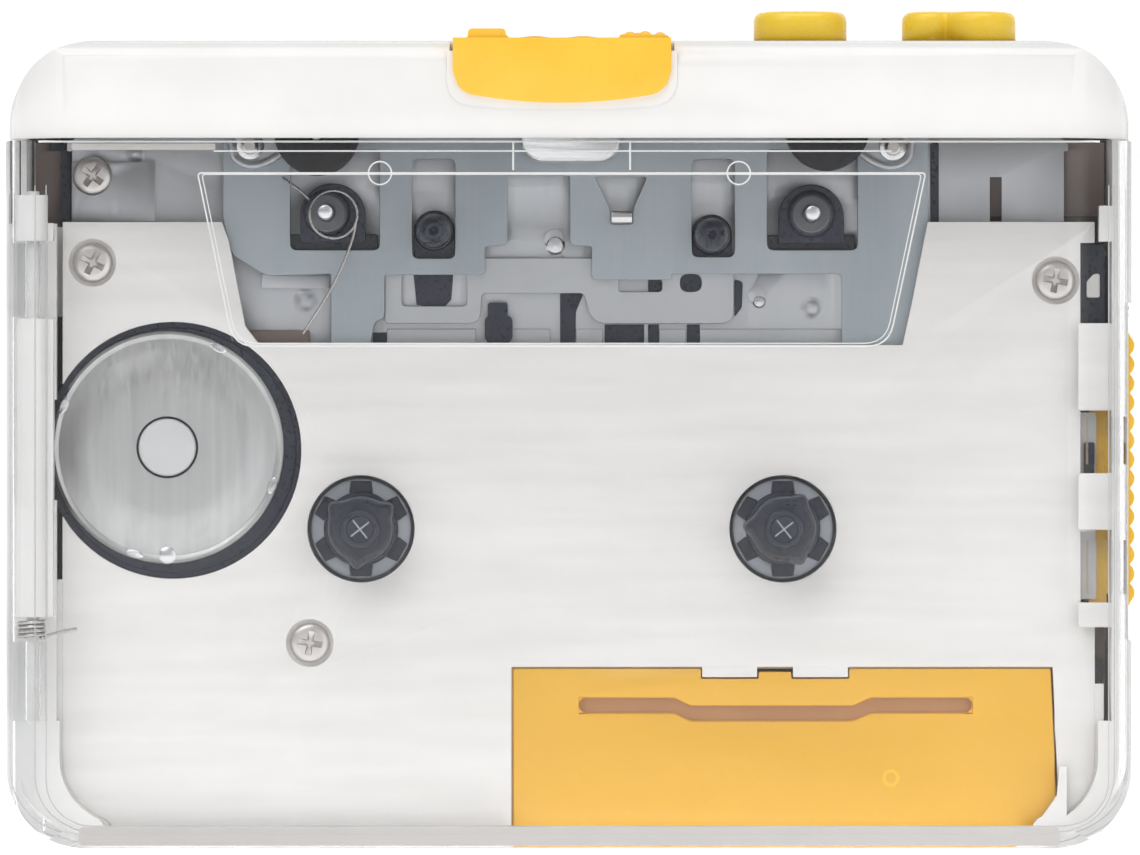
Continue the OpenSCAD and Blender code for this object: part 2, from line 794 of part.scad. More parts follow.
module mechanism_frame() {
    color(dark_plastic) difference() {
        union() {
            block([-51.4, -46.2], frame_y, [25, 59.8]);
            block([-51.4, -46.2], [frame_behind_board_y, frame_y[1]], [59.7, 73]);
            block([-51.4, -50.4], [base_y[0], frame_y[0] + lap], [25, 73]);
            block([-51.4, -46.2], [base_y[1] + lap, frame_y[1]], [71.1, 73]);
            block([-49.6, 49.6], frame_y, [19.3, 21.4]);
            block([-49.6, -46.2], frame_y, [21.3, 25.1]);
            block([46.2, 49.6], frame_y, [21.3, 45.4]);
        }
        // room for the idler wheel over the bottom bar
        bar(idler_at, idler_r + frame_gap, [frame_y[0] - lap, wheel_y[1] + frame_gap]);
        bar(motor_at, motor_r + 0.3, [-2, frame_y[1] + 1]);
        for (at = chassis_screw_at) bar(at, screw_bore_r, [base_y[0], 6]);
    }
}

// Steel base plate of the tape drive
base_x = [-50.2, 50];
base_z = [19.5, 71.6];
bush_bore_r = 2.3;
spindle_clear_r = 4.5;
tab_y = [-1.7, base_y[0] + lap];
tab = [[-50.2, -41.8], [62.9, 68.9]];
bar_emboss = [[-31, -24.2], [56.2, 57.6]];
rivet_heads = [[-1.5, 61.2, 0.95], [18.9, 55.5, 0.8]];
standoff_r = 1.6;
clutch_pin_y = [base_y[1] - lap, 6.6];

module base_plate() {
    color(pale_steel) difference() {
        union() {
            plate(base_y) rounded_flat(base_x, base_z, 1, 1);
            block(tab[0], tab_y, tab[1]);
            block(bar_emboss[0], [-1.4, base_y[0] + lap], bar_emboss[1]);
            for (r = rivet_heads) bar([r[0], r[1]], r[2], [-1.4, base_y[0] + lap]);
            for (at = panel_screw_at) bar(at, standoff_r, [panel_y[1], base_y[0] + lap]);
            bar(clutch_at, axle_r, clutch_pin_y);
        }
        bar(motor_at, motor_r + 0.3, [-4, 1]);
        for (at = [hub_left, hub_right]) bar(at, spindle_clear_r, [-4, 1]);
        for (at = [capstan_left_at, capstan_right_at]) bar(at, bush_bore_r, [-4, 1]);
        for (at = concat(panel_screw_at, chassis_screw_at)) bar(at, screw_bore_r, [-4, 1]);
        block([42.5, 43.7], [-2, 1], [62.9, 67.4]);
    }
}

// Steel plate that carries the tape head down to the tape
head_plate_outline = [
    [-34.9, 75], [-34.9, 63], [-34, 59.5], [-30.5, 57.4], [-24, 57.6], [-24, 48.6], [-20.4, 48.6],
    [-19.6, 52.8], [-18.6, 53.1], [-18.6, 57.5], [-8.5, 57.5], [-8.5, 60.3], [-6.2, 60.5], [-6.2, 67.5],
    [0.07, 67.5], [0.07, 60.5], [2.3, 60.4], [2.3, 57], [10.3, 57], [10.3, 57.6], [27.5, 57.6],
    [27.5, 48.6], [36.2, 48.6], [36.2, 75]];
head_plate_windows = [
    [[-28.1, -19.1], [60, 70.2]], [[-15.8, -11.5], [59.15, 69.2]], [[12.4, 16.7], [59.3, 69.2]],
    [[20, 29.1], [60, 70.2]], [[-33.2, -31], [69.3, 74.1]], [[31.5, 33.7], [69.3, 74.1]]];
head_plate_notch = [[2.6, 67.4], [7.9, 67.4], [6.45, 64.1], [6.45, 62.6], [4.2, 62.6], [4.2, 64.1]];

module head_plate() {
    color(steel) union() {
        plate(head_plate_y) difference() {
            polygon(head_plate_outline);
            for (w = head_plate_windows) flat(w[0], w[1]);
            polygon(head_plate_notch);
        }
        // upright bracket behind the tape head
        block([-4.4, 4.8], [-4.4, head_plate_y[0] + lap], [70.2, 74.4]);
    }
}

module tape_head() {
    color(pale_steel) plate([-13.5, -4.45]) rounded_flat([-4.9, 5.3], [68.7, 76.6], 2.4, 0.4);
}

// Slotted lever that reverses the tape
lever_outline = [
    [-18.6, 59.2], [-18.6, 52.7], [-9.7, 52.7], [-8.7, 53.6], [-8.7, 55.5], [1.3, 55.5],
    [2.6, 53], [3.2, 52.6],
    [15.3, 52.6], [16.2, 53.5], [16.6, 57], [16.3, 59.2]];
lever_windows = [[[-16.7, -10.2], [54.3, 57.4]], [[5.1, 9.3], [55.8, 57]], [[10.6, 13.2], [55.8, 57.6]]];

module reverse_lever() {
    color(pale_steel) plate(lever_y) difference() {
        polygon(lever_outline);
        for (w = lever_windows) flat(w[0], w[1]);
    }
}

lever_block_spots = [[[-7.8, -5.3], [50.8, 56.2]], [[-0.8, 1.3], [50.8, 56.2]]];
lever_block_y = [-1.85, lever_y[0]];

module lever_blocks() {
    color(dark_plastic) for (b = lever_block_spots) block(b[0], lever_block_y, b[1]);
}

switch_spots = [[[-20.2, -18.9], [50.5, 51.9]], [[-14.4, -12.6], [50.5, 51.9]], [[3.6, 7.6], [50.4, 52.3]],
    [[11.8, 13], [50.4, 52.3]]];
switch_back_spots = [[[-15.6, -11.5], [54.4, 57.3]], [[5.1, 9.3], [55.8, 57]], [[10.6, 13.2], [55.8, 57.5]]];
switch_back_y = [-1, base_y[0]];

module leaf_switch() {
    color(dark_plastic) {
        for (b = switch_spots) block(b[0], [-1.7, base_y[0]], b[1]);
        for (b = switch_back_spots) block(b[0], switch_back_y, b[1]);
    }
}

// Posts that line up the cassette
post_r = 1.7;

module guide_posts() {
    color(dark_plastic) for (at = [post_left_at, post_right_at])
        turned(at, -9) polygon([[0, 0], [0.6, 0], [post_r, 2], [post_r, 8.1], [0, 8.1]]);
}

// Bushes that carry the capstans
bush_flat_z = [60.6, 62];
bush_barrel_r = 2.25;
bush_r = 3.1;

module bush(at, mid) {
    difference() {
        union() {
            bar([mid, at[1] - 0.1], bush_r, [-3.6, base_y[0]]);
            block([mid - 4, mid + 4], [-1.8, base_y[0]], bush_flat_z);
            bar(at, 1.6, [-5, -3.5]);
            bar(at, bush_barrel_r, [base_y[0] - lap, 3.5]);
        }
        bar(at, capstan_r + bore_clearance, [-6, 4]);
    }
}

module capstan_bushes() {
    color(dark_plastic) {
        bush(capstan_left_at, -23.8);
        bush(capstan_right_at, 24.5);
    }
}

module pinch_spring() {
    wire_r = 0.3;
    wire_y = -4.2;
    color(steel) union() {
        difference() {
            bar(capstan_left_at, 2.4, [-4.8, -3.7]);
            bar(capstan_left_at, 1.75, [-5, -3.5]);
        }
        plate([wire_y - wire_r, wire_y + wire_r]) slot_flat([-22.2, 63.2], [-27, 51.3], wire_r);
    }
}

// Pinch rollers on their swing arms
roller_y = [-12.5, -5.5];
arm_y = [-5.2, -3.2];
roller_axle_r = 0.7;
pivot_pin_r = 0.8;

module arm_pivots() {
    color(pale_steel) for (at = [pivot_left_at, pivot_right_at]) {
        bar(at, pivot_pin_r, [-6.2, base_y[0]]);
        bar(at, 1.4, [-5.7, -5.35]);
    }
}

module pinch_arm(pivot, roller) {
    color(steel) difference() {
        union() {
            plate(arm_y) slot_flat(pivot, roller, 1.5);
            bar(roller, roller_axle_r, [-13, arm_y[0] + lap]);
        }
        bar(pivot, pivot_pin_r + bore_clearance, [-6, -3]);
    }
}

module pinch_roller(at) {
    color(rubber_black) difference() {
        bar(at, roller_r, roller_y);
        bar(at, roller_axle_r + bore_clearance, [roller_y[0] - 1, roller_y[1] + 1]);
    }
}

module pinch_arm_left() {
    pinch_arm(pivot_left_at, roller_left_at);
}

module pinch_arm_right() {
    pinch_arm(pivot_right_at, roller_right_at);
}

module pinch_roller_left() {
    pinch_roller(roller_left_at);
}

module pinch_roller_right() {
    pinch_roller(roller_right_at);
}

// Capstans and their flywheels
capstan_y = [-12, 11.5];

module capstan_left() {
    color(steel) bar(capstan_left_at, capstan_r, capstan_y);
}

module capstan_right() {
    color(steel) bar(capstan_right_at, capstan_r, capstan_y);
}

module flywheel(at, hub_y) {
    difference() {
        union() {
            bar(at, flywheel_r, [flywheel_y[0], main_belt_y[0] - 0.1]);
            bar(at, flywheel_r - groove_depth, [flywheel_y[0], flywheel_y[1]]);
            bar(at, flywheel_r, [main_belt_y[1] + 0.1, flywheel_y[1]]);
            bar(at, 2.4, [hub_y, flywheel_y[0] + lap]);
        }
        bar(at, capstan_r, [hub_y - 1, flywheel_y[1] + 1]);
    }
}

module flywheel_left() {
    color(brass_tone) flywheel(capstan_left_at, 4);
}

module flywheel_right() {
    color(brass_tone) union() {
        flywheel(capstan_right_at, 4);
        difference() {
            bar(capstan_right_at, hub_pulley_r, reel_belt_y);
            bar(capstan_right_at, capstan_r, [4, 6]);
        }
    }
}

thrust_feet = [[hub_x, 69.5], [39.4, 66.2], [-39.5, 56.6]];

module thrust_plate() {
    foot_r = 1.5;
    color(steel) union() {
        plate(thrust_y) union() {
            flat([-41, 41], [61, 67.7]);
            flat([hub_x - 3, hub_x + 3], [67, 72]);
            flat([-42, -37], [54.6, 61.5]);
        }
        for (at = thrust_feet) bar(at, foot_r, [base_y[1], thrust_y[0] + lap]);
    }
}

// Motor
motor_y = [-3.2, 8];

module motor_can() {
    rim = 0.6;
    color(pale_steel) difference() {
        union() {
            turned(motor_at, motor_y[0]) polygon([[0, 0], [motor_r - rim, 0], [motor_r, rim],
                [motor_r, motor_y[1] - motor_y[0]], [0, motor_y[1] - motor_y[0]]]);
            bar(motor_at, 3, [motor_y[0] - 0.6, motor_y[0] + lap]);
        }
        bar(motor_at, axle_r + bore_clearance, [4, 9]);
    }
}

module motor_pulley() {
    color(brass_tone) union() {
        bar(motor_at, axle_r, [4.5, 11]);
        bar(motor_at, motor_pulley_r, [8.6, 10.8]);
        bar(motor_at, motor_pulley_r + groove_depth, [8.4, main_belt_y[0] - 0.1]);
        bar(motor_at, motor_pulley_r + groove_depth, [main_belt_y[1] + 0.1, 11]);
    }
}

// Belts
main_wrap_r = flywheel_r - groove_depth + belt_gap;
motor_wrap_r = motor_pulley_r + belt_gap;

module main_loop(grow) {
    difference() {
        hull() {
            translate(motor_at) circle(motor_wrap_r + grow);
            translate(capstan_right_at) circle(main_wrap_r + grow);
        }
        translate(capstan_left_at) circle(main_wrap_r + belt_thickness - grow);
    }
}

module main_belt() {
    color(rubber_black) plate(main_belt_y) difference() {
        main_loop(belt_thickness);
        main_loop(0);
    }
}

module reel_loop(grow) {
    hull() {
        translate(capstan_right_at) circle(hub_pulley_r + belt_gap + grow);
        translate(clutch_at) circle(clutch_pulley_r + belt_gap + grow);
    }
}

module reel_belt() {
    color(rubber_black) plate([reel_belt_y[0] + 0.3, reel_belt_y[1] - 0.3]) difference() {
        reel_loop(belt_thickness);
        reel_loop(0);
    }
}

// Bridge behind the reels, with the two pins that they turn on
bridge_y = [4.2, 5];
bridge_pillars = [[-13, 23.6], [13.6, 23.6], [-10.5, 42], [11.1, 42]];

module reel_bridge() {
    color(pale_steel) union() {
        block([-24, 24.6], bridge_y, [22, 40.8]);
        for (at = bridge_pillars) {
            bar(at, 1.2, [base_y[1], bridge_y[0] + lap]);
            block([at[0] - 1.8, at[0] + 1.8], bridge_y, [at[1] - 1.8, at[1] + 1.8]);
        }
        for (at = [hub_left, hub_right]) bar(at, axle_r, [-9, bridge_y[0] + lap]);
    }
}

module clutch_pulley() {
    color(grey_plastic) difference() {
        union() {
            bar(clutch_at, clutch_wheel_r, [wheel_y[0], reel_belt_y[1]]);
            bar(clutch_at, clutch_pulley_r, [reel_belt_y[0] + 0.1, reel_belt_y[1]]);
        }
        bar(clutch_at, axle_r + bore_clearance, [0, 8]);
    }
}

module swing_arm() {
    arm_plate_y = [0.3, 0.95];
    color(pale_steel) difference() {
        union() {
            plate(arm_plate_y) slot_flat(clutch_at, idler_at, 2);
            bar(idler_at, axle_r, [arm_plate_y[1] - lap, 4]);
        }
        bar(clutch_at, axle_r + bore_clearance, [0, 2]);
    }
}

module idler_wheel() {
    color(rubber_black) difference() {
        bar(idler_at, idler_r, wheel_y);
        bar(idler_at, axle_r + bore_clearance, [1, 5]);
    }
}

// Reels: a grey table with a ring of blocks, and a black spindle with three ears
collar_r = 5;
collar_y = [-2.6, -1.9];
collar_blocks = 6;
spindle_r = 3.8;

module reel_table(at) {
    color(grey_plastic) difference() {
        union() {
            bar(at, reel_rim_r, wheel_y);
            bar(at, spindle_r + 0.2, [collar_y[0], wheel_y[0] + lap]);
            bar(at, collar_r, collar_y);
        }
        bar(at, axle_r + bore_clearance, [-4, 5]);
        for (i = [0 : collar_blocks - 1])
            translate([at[0], 0, at[1]]) rotate([0, i * 360 / collar_blocks, 0])
                block([-1.3, 1.3], [collar_y[0] - lap, collar_y[0] + 0.4], [spindle_r + 0.3, collar_r + lap]);
    }
}

ear_angles_left = [37, 141, -96];
ear_angles_right = [58, 176, -62];

module spindle(at, ears) {
    color(dark_plastic) difference() {
        union() {
            bar(at, spindle_r, [-5.4, collar_y[0]]);
            bar(at, 2, [-11, -5.3]);
            for (turn = ears)
                plate([-10.2, -5.3]) translate(at) rotate(turn)
                    polygon([[0, -1.2], [3.4, -0.9], [4.3, 0], [3.4, 0.9], [0, 1.2]]);
        }
        bar(at, axle_r + bore_clearance, [-9.1, -2]);
        for (turn = [0, 90])
            translate([at[0], -11, at[1]]) rotate([0, turn, 0]) cube([2.8, 1, 0.5], center = true);
    }
}

module reel_left() {
    reel_table(hub_left);
}

module reel_right() {
    reel_table(hub_right);
}

module spindle_left() {
    spindle(hub_left, ear_angles_left);
}

module spindle_right() {
    spindle(hub_right, ear_angles_right);
}

module front_screws() {
    color(pale_steel) {
        for (at = panel_screw_at) screw(at, panel_y[0] + counterbore_depth - screw_head_h, 0.05);
        screw(chassis_screw_at[0], tab_y[0] - screw_head_h, 5);
        for (i = [1, 2]) screw(chassis_screw_at[i], base_y[0] - screw_head_h, 5);
    }
}

module case_screws() {
    color(steel) mirror([0, 1, 0])
        for (at = boss_at) screw(at, -(half_d - 1.9 + screw_head_h), -4);
}

top_cover();
mid_case();
rear_cover();
bay_panel();
door();
hinge_pin();
hinge_spring();
battery_cover();
battery_tray();
battery_spring();
battery_contact();
battery_cells();
latch_slider();
latch_spring();
stop_key();
play_key();
stop_key_spring();
play_key_spring();
seek_rocker();
volume_wheel();
volume_pot();
headphone_jack();
jack_board();
volume_board();
circuit_board();
board_components();
mechanism_frame();
base_plate();
head_plate();
tape_head();
reverse_lever();
lever_blocks();
leaf_switch();
guide_posts();
capstan_bushes();
pinch_spring();
arm_pivots();
pinch_arm_left();
pinch_arm_right();
pinch_roller_left();
pinch_roller_right();
capstan_left();
capstan_right();
flywheel_left();
flywheel_right();
thrust_plate();
motor_can();
motor_pulley();
main_belt();
reel_belt();
reel_bridge();
clutch_pulley();
swing_arm();
idler_wheel();
reel_left();
reel_right();
spindle_left();
spindle_right();
front_screws();
case_screws();
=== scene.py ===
import math
import json
import random
import bpy
import bmesh
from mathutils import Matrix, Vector


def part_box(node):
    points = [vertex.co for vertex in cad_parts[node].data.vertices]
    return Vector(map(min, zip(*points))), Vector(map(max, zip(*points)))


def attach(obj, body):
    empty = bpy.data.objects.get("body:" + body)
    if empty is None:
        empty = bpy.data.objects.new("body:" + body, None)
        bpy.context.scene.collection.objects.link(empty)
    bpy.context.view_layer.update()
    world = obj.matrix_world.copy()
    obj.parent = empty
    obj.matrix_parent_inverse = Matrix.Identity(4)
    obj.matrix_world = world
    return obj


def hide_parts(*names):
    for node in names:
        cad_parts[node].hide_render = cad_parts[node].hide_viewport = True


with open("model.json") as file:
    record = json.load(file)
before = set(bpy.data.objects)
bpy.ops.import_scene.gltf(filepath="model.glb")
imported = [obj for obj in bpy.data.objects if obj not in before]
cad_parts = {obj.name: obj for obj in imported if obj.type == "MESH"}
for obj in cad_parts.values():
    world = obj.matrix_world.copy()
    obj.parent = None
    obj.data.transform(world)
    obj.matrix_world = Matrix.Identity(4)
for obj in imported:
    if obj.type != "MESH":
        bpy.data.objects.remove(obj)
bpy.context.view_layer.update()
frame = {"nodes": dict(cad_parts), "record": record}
MM = 0.001
nodes = frame["nodes"]

# ---------------------------------------------------------------- camera, light and stage

scene = bpy.context.scene
scene.view_settings.view_transform = "Standard"


def aim(obj, target):
    obj.rotation_mode = "QUATERNION"
    obj.rotation_quaternion = (Vector(target) - obj.location).to_track_quat("-Z", "Y")


def add_camera():
    data = bpy.data.cameras.new("camera")
    data.lens = 385
    data.sensor_width = 36
    data.clip_start = 0.1
    cam = bpy.data.objects.new("camera", data)
    scene.collection.objects.link(cam)
    cam.location = (0.0001, -1.2325, 0.0421)
    aim(cam, (0.0001, 0, 0.0421))
    scene.camera = cam


def add_lamp(name, place, target, width, height, power, tint):
    data = bpy.data.lights.new(name, "AREA")
    data.shape = "RECTANGLE"
    data.size = width
    data.size_y = height
    data.energy = power
    data.color = tint
    lamp = bpy.data.objects.new(name, data)
    scene.collection.objects.link(lamp)
    lamp.location = place
    aim(lamp, target)


def add_world():
    world = bpy.data.worlds.new("studio")
    world.use_nodes = True
    scene.world = world
    background = world.node_tree.nodes["Background"]
    background.inputs["Color"].default_value = (1, 1, 1, 1)
    background.inputs["Strength"].default_value = 0.42


# ---------------------------------------------------------------- materials


def noise(tree, scale, stretch=(1, 1, 1), detail=3.0, distortion=0.0):
    coords = tree.nodes.new("ShaderNodeTexCoord")
    mapping = tree.nodes.new("ShaderNodeMapping")
    mapping.inputs["Scale"].default_value = stretch
    texture = tree.nodes.new("ShaderNodeTexNoise")
    texture.inputs["Scale"].default_value = scale
    texture.inputs["Detail"].default_value = detail
    texture.inputs["Distortion"].default_value = distortion
    tree.links.new(coords.outputs["Object"], mapping.inputs["Vector"])
    tree.links.new(mapping.outputs["Vector"], texture.inputs["Vector"])
    return texture.outputs["Fac"]


def between(tree, factor, low, high):
    remap = tree.nodes.new("ShaderNodeMapRange")
    remap.inputs["From Min"].default_value = 0.3
    remap.inputs["From Max"].default_value = 0.7
    remap.inputs["To Min"].default_value = low
    remap.inputs["To Max"].default_value = high
    tree.links.new(factor, remap.inputs["Value"])
    return remap.outputs["Result"]


def tones(tree, factor, dark, light):
    ramp = tree.nodes.new("ShaderNodeValToRGB")
    ramp.color_ramp.elements[0].position = 0.3
    ramp.color_ramp.elements[1].position = 0.7
    ramp.color_ramp.elements[0].color = (*dark, 1)
    ramp.color_ramp.elements[1].color = (*light, 1)
    tree.links.new(factor, ramp.inputs["Fac"])
    return ramp.outputs["Color"]


def relief(tree, shader, height, strength, distance):
    bump = tree.nodes.new("ShaderNodeBump")
    bump.inputs["Strength"].default_value = strength
    bump.inputs["Distance"].default_value = distance
    tree.links.new(height, bump.inputs["Height"])
    tree.links.new(bump.outputs["Normal"], shader.inputs["Normal"])


def material(name, dark, light, rough, tone_scale=120, grain_scale=2500, stretch=(1, 1, 1),
             bump=0.1, distance=0.00002, metallic=0.0, coat=0.0, ior=1.5):
    made = bpy.data.materials.new(name)
    made.use_nodes = True
    tree = made.node_tree
    shader = tree.nodes["Principled BSDF"]
    shader.inputs["Metallic"].default_value = metallic
    shader.inputs["IOR"].default_value = ior
    shader.inputs["Coat Weight"].default_value = coat
    shader.inputs["Coat Roughness"].default_value = 0.08
    tone = noise(tree, tone_scale, stretch)
    grain = noise(tree, grain_scale, stretch, 2.0)
    tree.links.new(tones(tree, tone, dark, light), shader.inputs["Base Color"])
    tree.links.new(between(tree, grain, *rough), shader.inputs["Roughness"])
    relief(tree, shader, grain, bump, distance)
    return made


def clear_plastic():
    made = bpy.data.materials.new("clear_plastic")
    made.use_nodes = True
    tree = made.node_tree
    shader = tree.nodes["Principled BSDF"]
    shader.inputs["Transmission Weight"].default_value = 1.0
    shader.inputs["IOR"].default_value = 1.16
    shader.inputs["Coat Weight"].default_value = 0.4
    shader.inputs["Coat Roughness"].default_value = 0.04
    haze = noise(tree, 300)
    tree.links.new(between(tree, haze, 0.0, 0.02), shader.inputs["Roughness"])
    tree.links.new(tones(tree, haze, (0.955, 0.965, 0.975), (0.985, 0.985, 0.985)), shader.inputs["Base Color"])
    ripple = noise(tree, 60, (1, 1, 0.4))
    relief(tree, shader, ripple, 0.02, 0.0001)
    path = tree.nodes.new("ShaderNodeLightPath")
    clear = tree.nodes.new("ShaderNodeBsdfTransparent")
    mix = tree.nodes.new("ShaderNodeMixShader")
    output = tree.nodes["Material Output"]
    tree.links.new(path.outputs["Is Shadow Ray"], mix.inputs["Fac"])
    tree.links.new(shader.outputs["BSDF"], mix.inputs[1])
    tree.links.new(clear.outputs["BSDF"], mix.inputs[2])
    tree.links.new(mix.outputs["Shader"], output.inputs["Surface"])
    return made


UPRIGHT_GRAIN = (1, 1, 0.03)
LEVEL_GRAIN = (0.05, 1, 1)

finish = {
    "white_shell": material("white_shell", (0.86, 0.85, 0.835), (0.9, 0.89, 0.88), (0.16, 0.24), bump=0.02),
    "bay_white": material("bay_white", (0.81, 0.79, 0.77), (0.87, 0.855, 0.84), (0.4, 0.55), tone_scale=500,
                          grain_scale=1100, stretch=(0.1, 1, 1), bump=0.4, distance=0.00008),
    "clear_door": clear_plastic(),
    "yellow": material("yellow", (0.96, 0.55, 0.035), (1.0, 0.61, 0.055), (0.26, 0.38), bump=0.05),
    "black_plastic": material("black_plastic", (0.018, 0.021, 0.036), (0.03, 0.035, 0.054), (0.24, 0.4), bump=0.05),
    "grey_plastic": material("grey_plastic", (0.34, 0.36, 0.4), (0.44, 0.46, 0.5), (0.28, 0.42), bump=0.05),
    "plate_steel": material("plate_steel", (0.48, 0.49, 0.51), (0.54, 0.55, 0.57), (0.4, 0.5), tone_scale=60,
                            stretch=UPRIGHT_GRAIN, grain_scale=2200, bump=0.03, metallic=0.8),
    "zinc_steel": material("zinc_steel", (0.37, 0.41, 0.44), (0.44, 0.48, 0.51), (0.4, 0.52), tone_scale=80,
                           stretch=UPRIGHT_GRAIN, grain_scale=2600, bump=0.04, metallic=0.85),
    "bright_steel": material("bright_steel", (0.66, 0.66, 0.67), (0.76, 0.76, 0.77), (0.2, 0.32),
                             stretch=LEVEL_GRAIN, grain_scale=2500, bump=0.04, metallic=1.0),
    "motor_steel": material("motor_steel", (0.5, 0.5, 0.5), (0.58, 0.58, 0.575), (0.3, 0.44),
                            stretch=UPRIGHT_GRAIN, tone_scale=900, grain_scale=4000, bump=0.06, metallic=1.0),
    "spring_wire": material("spring_wire", (0.4, 0.38, 0.37), (0.6, 0.58, 0.57), (0.22, 0.4), metallic=1.0),
    "screw_steel": material("screw_steel", (0.62, 0.59, 0.57), (0.72, 0.69, 0.67), (0.3, 0.42), bump=0.03,
                            metallic=1.0),
    "brass": material("brass", (0.5, 0.36, 0.16), (0.66, 0.5, 0.24), (0.25, 0.4), metallic=1.0),
    "rubber": material("rubber", (0.012, 0.012, 0.014), (0.03, 0.03, 0.034), (0.6, 0.8), bump=0.3),
    "board": material("board", (0.2, 0.15, 0.13), (0.28, 0.22, 0.2), (0.4, 0.6), stretch=LEVEL_GRAIN),
    "cell_wrap": material("cell_wrap", (0.3, 0.31, 0.33), (0.42, 0.43, 0.45), (0.25, 0.4)),
}


# ---------------------------------------------------------------- shapes, in millimetres


AXES = {
    "X": (Vector((0, 1, 0)), Vector((0, 0, 1)), Vector((1, 0, 0))),
    "Y": (Vector((1, 0, 0)), Vector((0, 0, 1)), Vector((0, 1, 0))),
    "Z": (Vector((1, 0, 0)), Vector((0, 1, 0)), Vector((0, 0, 1))),
}


def joined(*shapes):
    """One list of points and faces from several."""
    verts = []
    faces = []
    for points, polys in shapes:
        start = len(verts)
        verts.extend(points)
        faces.extend([tuple(start + i for i in poly) for poly in polys])
    return verts, faces


def loft(rings, cap_start=True, cap_end=True):
    """A skin over rings that all have the same number of points."""
    count = len(rings[0])
    verts = [point for ring in rings for point in ring]
    faces = []
    for level in range(len(rings) - 1):
        for i in range(count):
            j = (i + 1) % count
            low = level * count
            faces.append((low + i, low + j, low + count + j, low + count + i))
    if cap_start:
        faces.append(tuple(range(count)))
    if cap_end:
        faces.append(tuple(reversed(range(len(verts) - count, len(verts)))))
    return verts, faces


def ring(place, axis, radius, along, sides=64):
    """A circle, or any closed outline when radius is a function of the angle."""
    u, v, w = AXES[axis]
    points = []
    for i in range(sides):
        turn = math.tau * i / sides
        r = radius(turn) if callable(radius) else radius
        points.append(Vector(place) + u * (r * math.cos(turn)) + v * (r * math.sin(turn)) + w * along)
    return points


def lathe(place, axis, profile, sides=64, closed=False):
    """A turned part from a profile of radius and distance along the axis."""
    rings = [ring(place, axis, radius, along, sides) for radius, along in profile]
    if closed:
        rings.append(rings[0])
        return loft(rings, False, False)
    return loft(rings)


def block(x, y, z):
    corners = [Vector((a, b, c)) for c in z for b in y for a in x]
    faces = [(0, 2, 3, 1), (4, 5, 7, 6), (0, 1, 5, 4), (2, 6, 7, 3), (0, 4, 6, 2), (1, 3, 7, 5)]
    return corners, faces


def plate(outline, y):
    """A flat outline in X and Z with a thickness along Y."""
    return loft([[Vector((a, depth, c)) for a, c in outline] for depth in y])


def tube(path, radius, sides=10):
    """A round wire along a path of points."""
    points = [Vector(p) for p in path]
    side = None
    rings = []
    for i, point in enumerate(points):
        ahead = (points[min(i + 1, len(points) - 1)] - points[max(i - 1, 0)]).normalized()
        if side is None:
            side = ahead.orthogonal().normalized()
        side = (side - ahead * side.dot(ahead)).normalized()
        up = ahead.cross(side)
        rings.append([point + (side * math.cos(math.tau * k / sides) + up * math.sin(math.tau * k / sides)) * radius
                      for k in range(sides)])
    return loft(rings)


def coil(place, axis, radius, turns, low, high, start=0.0, steps=28):
    """Points of a helix round a place."""
    u, v, w = AXES[axis]
    total = int(turns * steps)
    points = []
    for i in range(total + 1):
        turn = start + math.tau * i / steps
        along = low + (high - low) * i / total
        points.append(Vector(place) + (u * math.cos(turn) + v * math.sin(turn)) * radius + w * along)
    return points


def curve(*knots, steps=10):
    """A smooth path through a few knots."""
    spots = [Vector(k) for k in knots]
    padded = [spots[0] * 2 - spots[1]] + spots + [spots[-1] * 2 - spots[-2]]
    path = []
    for i in range(len(spots) - 1):
        a, b, c, d = padded[i:i + 4]
        for step in range(steps):
            t = step / steps
            path.append(0.5 * (2 * b + (c - a) * t + (2 * a - 5 * b + 4 * c - d) * t * t
                               + (3 * b - a - 3 * c + d) * t ** 3))
    path.append(spots[-1])
    return path


def piece(name, shape, body, slot, look=None, replaces=(), bevel=0.0, segments=2, smooth=True):
    verts, faces = shape
    mesh = bpy.data.meshes.new(name)
    mesh.from_pydata([Vector(v) * MM for v in verts], [], faces)
    tidy = bmesh.new()
    tidy.from_mesh(mesh)
    bmesh.ops.remove_doubles(tidy, verts=tidy.verts, dist=0.0000005)
    bmesh.ops.recalc_face_normals(tidy, faces=tidy.faces)
    tidy.to_mesh(mesh)
    tidy.free()
    obj = bpy.data.objects.new(name, mesh)
    scene.collection.objects.link(obj)
    mesh.materials.append(look or finish[slot])
    if smooth:
        mesh.shade_smooth()
    add_bevel(obj, bevel, segments)
    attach(obj, body)
    if replaces:
        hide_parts(*replaces)
    return obj


def add_bevel(obj, width, segments, angle=32):
    if width <= 0:
        obj.data.set_sharp_from_angle(angle=math.radians(angle))
        return
    bevel = obj.modifiers.new("bevel", "BEVEL")
    bevel.width = width * MM
    bevel.segments = segments
    bevel.limit_method = "ANGLE"
    bevel.angle_limit = math.radians(angle)
    bevel.harden_normals = True


def middle(node):
    """Middle and half size of a node's box, in millimetres."""
    low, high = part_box(node)
    return (low + high) / 2 / MM, (high - low) / 2 / MM


def solids(node):
    """Lowest and highest corner, in millimetres, of each separate solid of a node, from left to right."""
    welded = bmesh.new()
    welded.from_mesh(nodes[node].data)
    bmesh.ops.remove_doubles(welded, verts=welded.verts, dist=0.000001)
    left = set(welded.verts)
    boxes = []
    while left:
        group = [left.pop()]
        for vert in group:
            for edge in vert.link_edges:
                other = edge.other_vert(vert)
                if other in left:
                    left.remove(other)
                    group.append(other)
        boxes.append(tuple(Vector([pick(v.co[i] for v in group) / MM for i in range(3)]) for pick in (min, max)))
    welded.free()
    return sorted(boxes, key=lambda box: box[0].x)


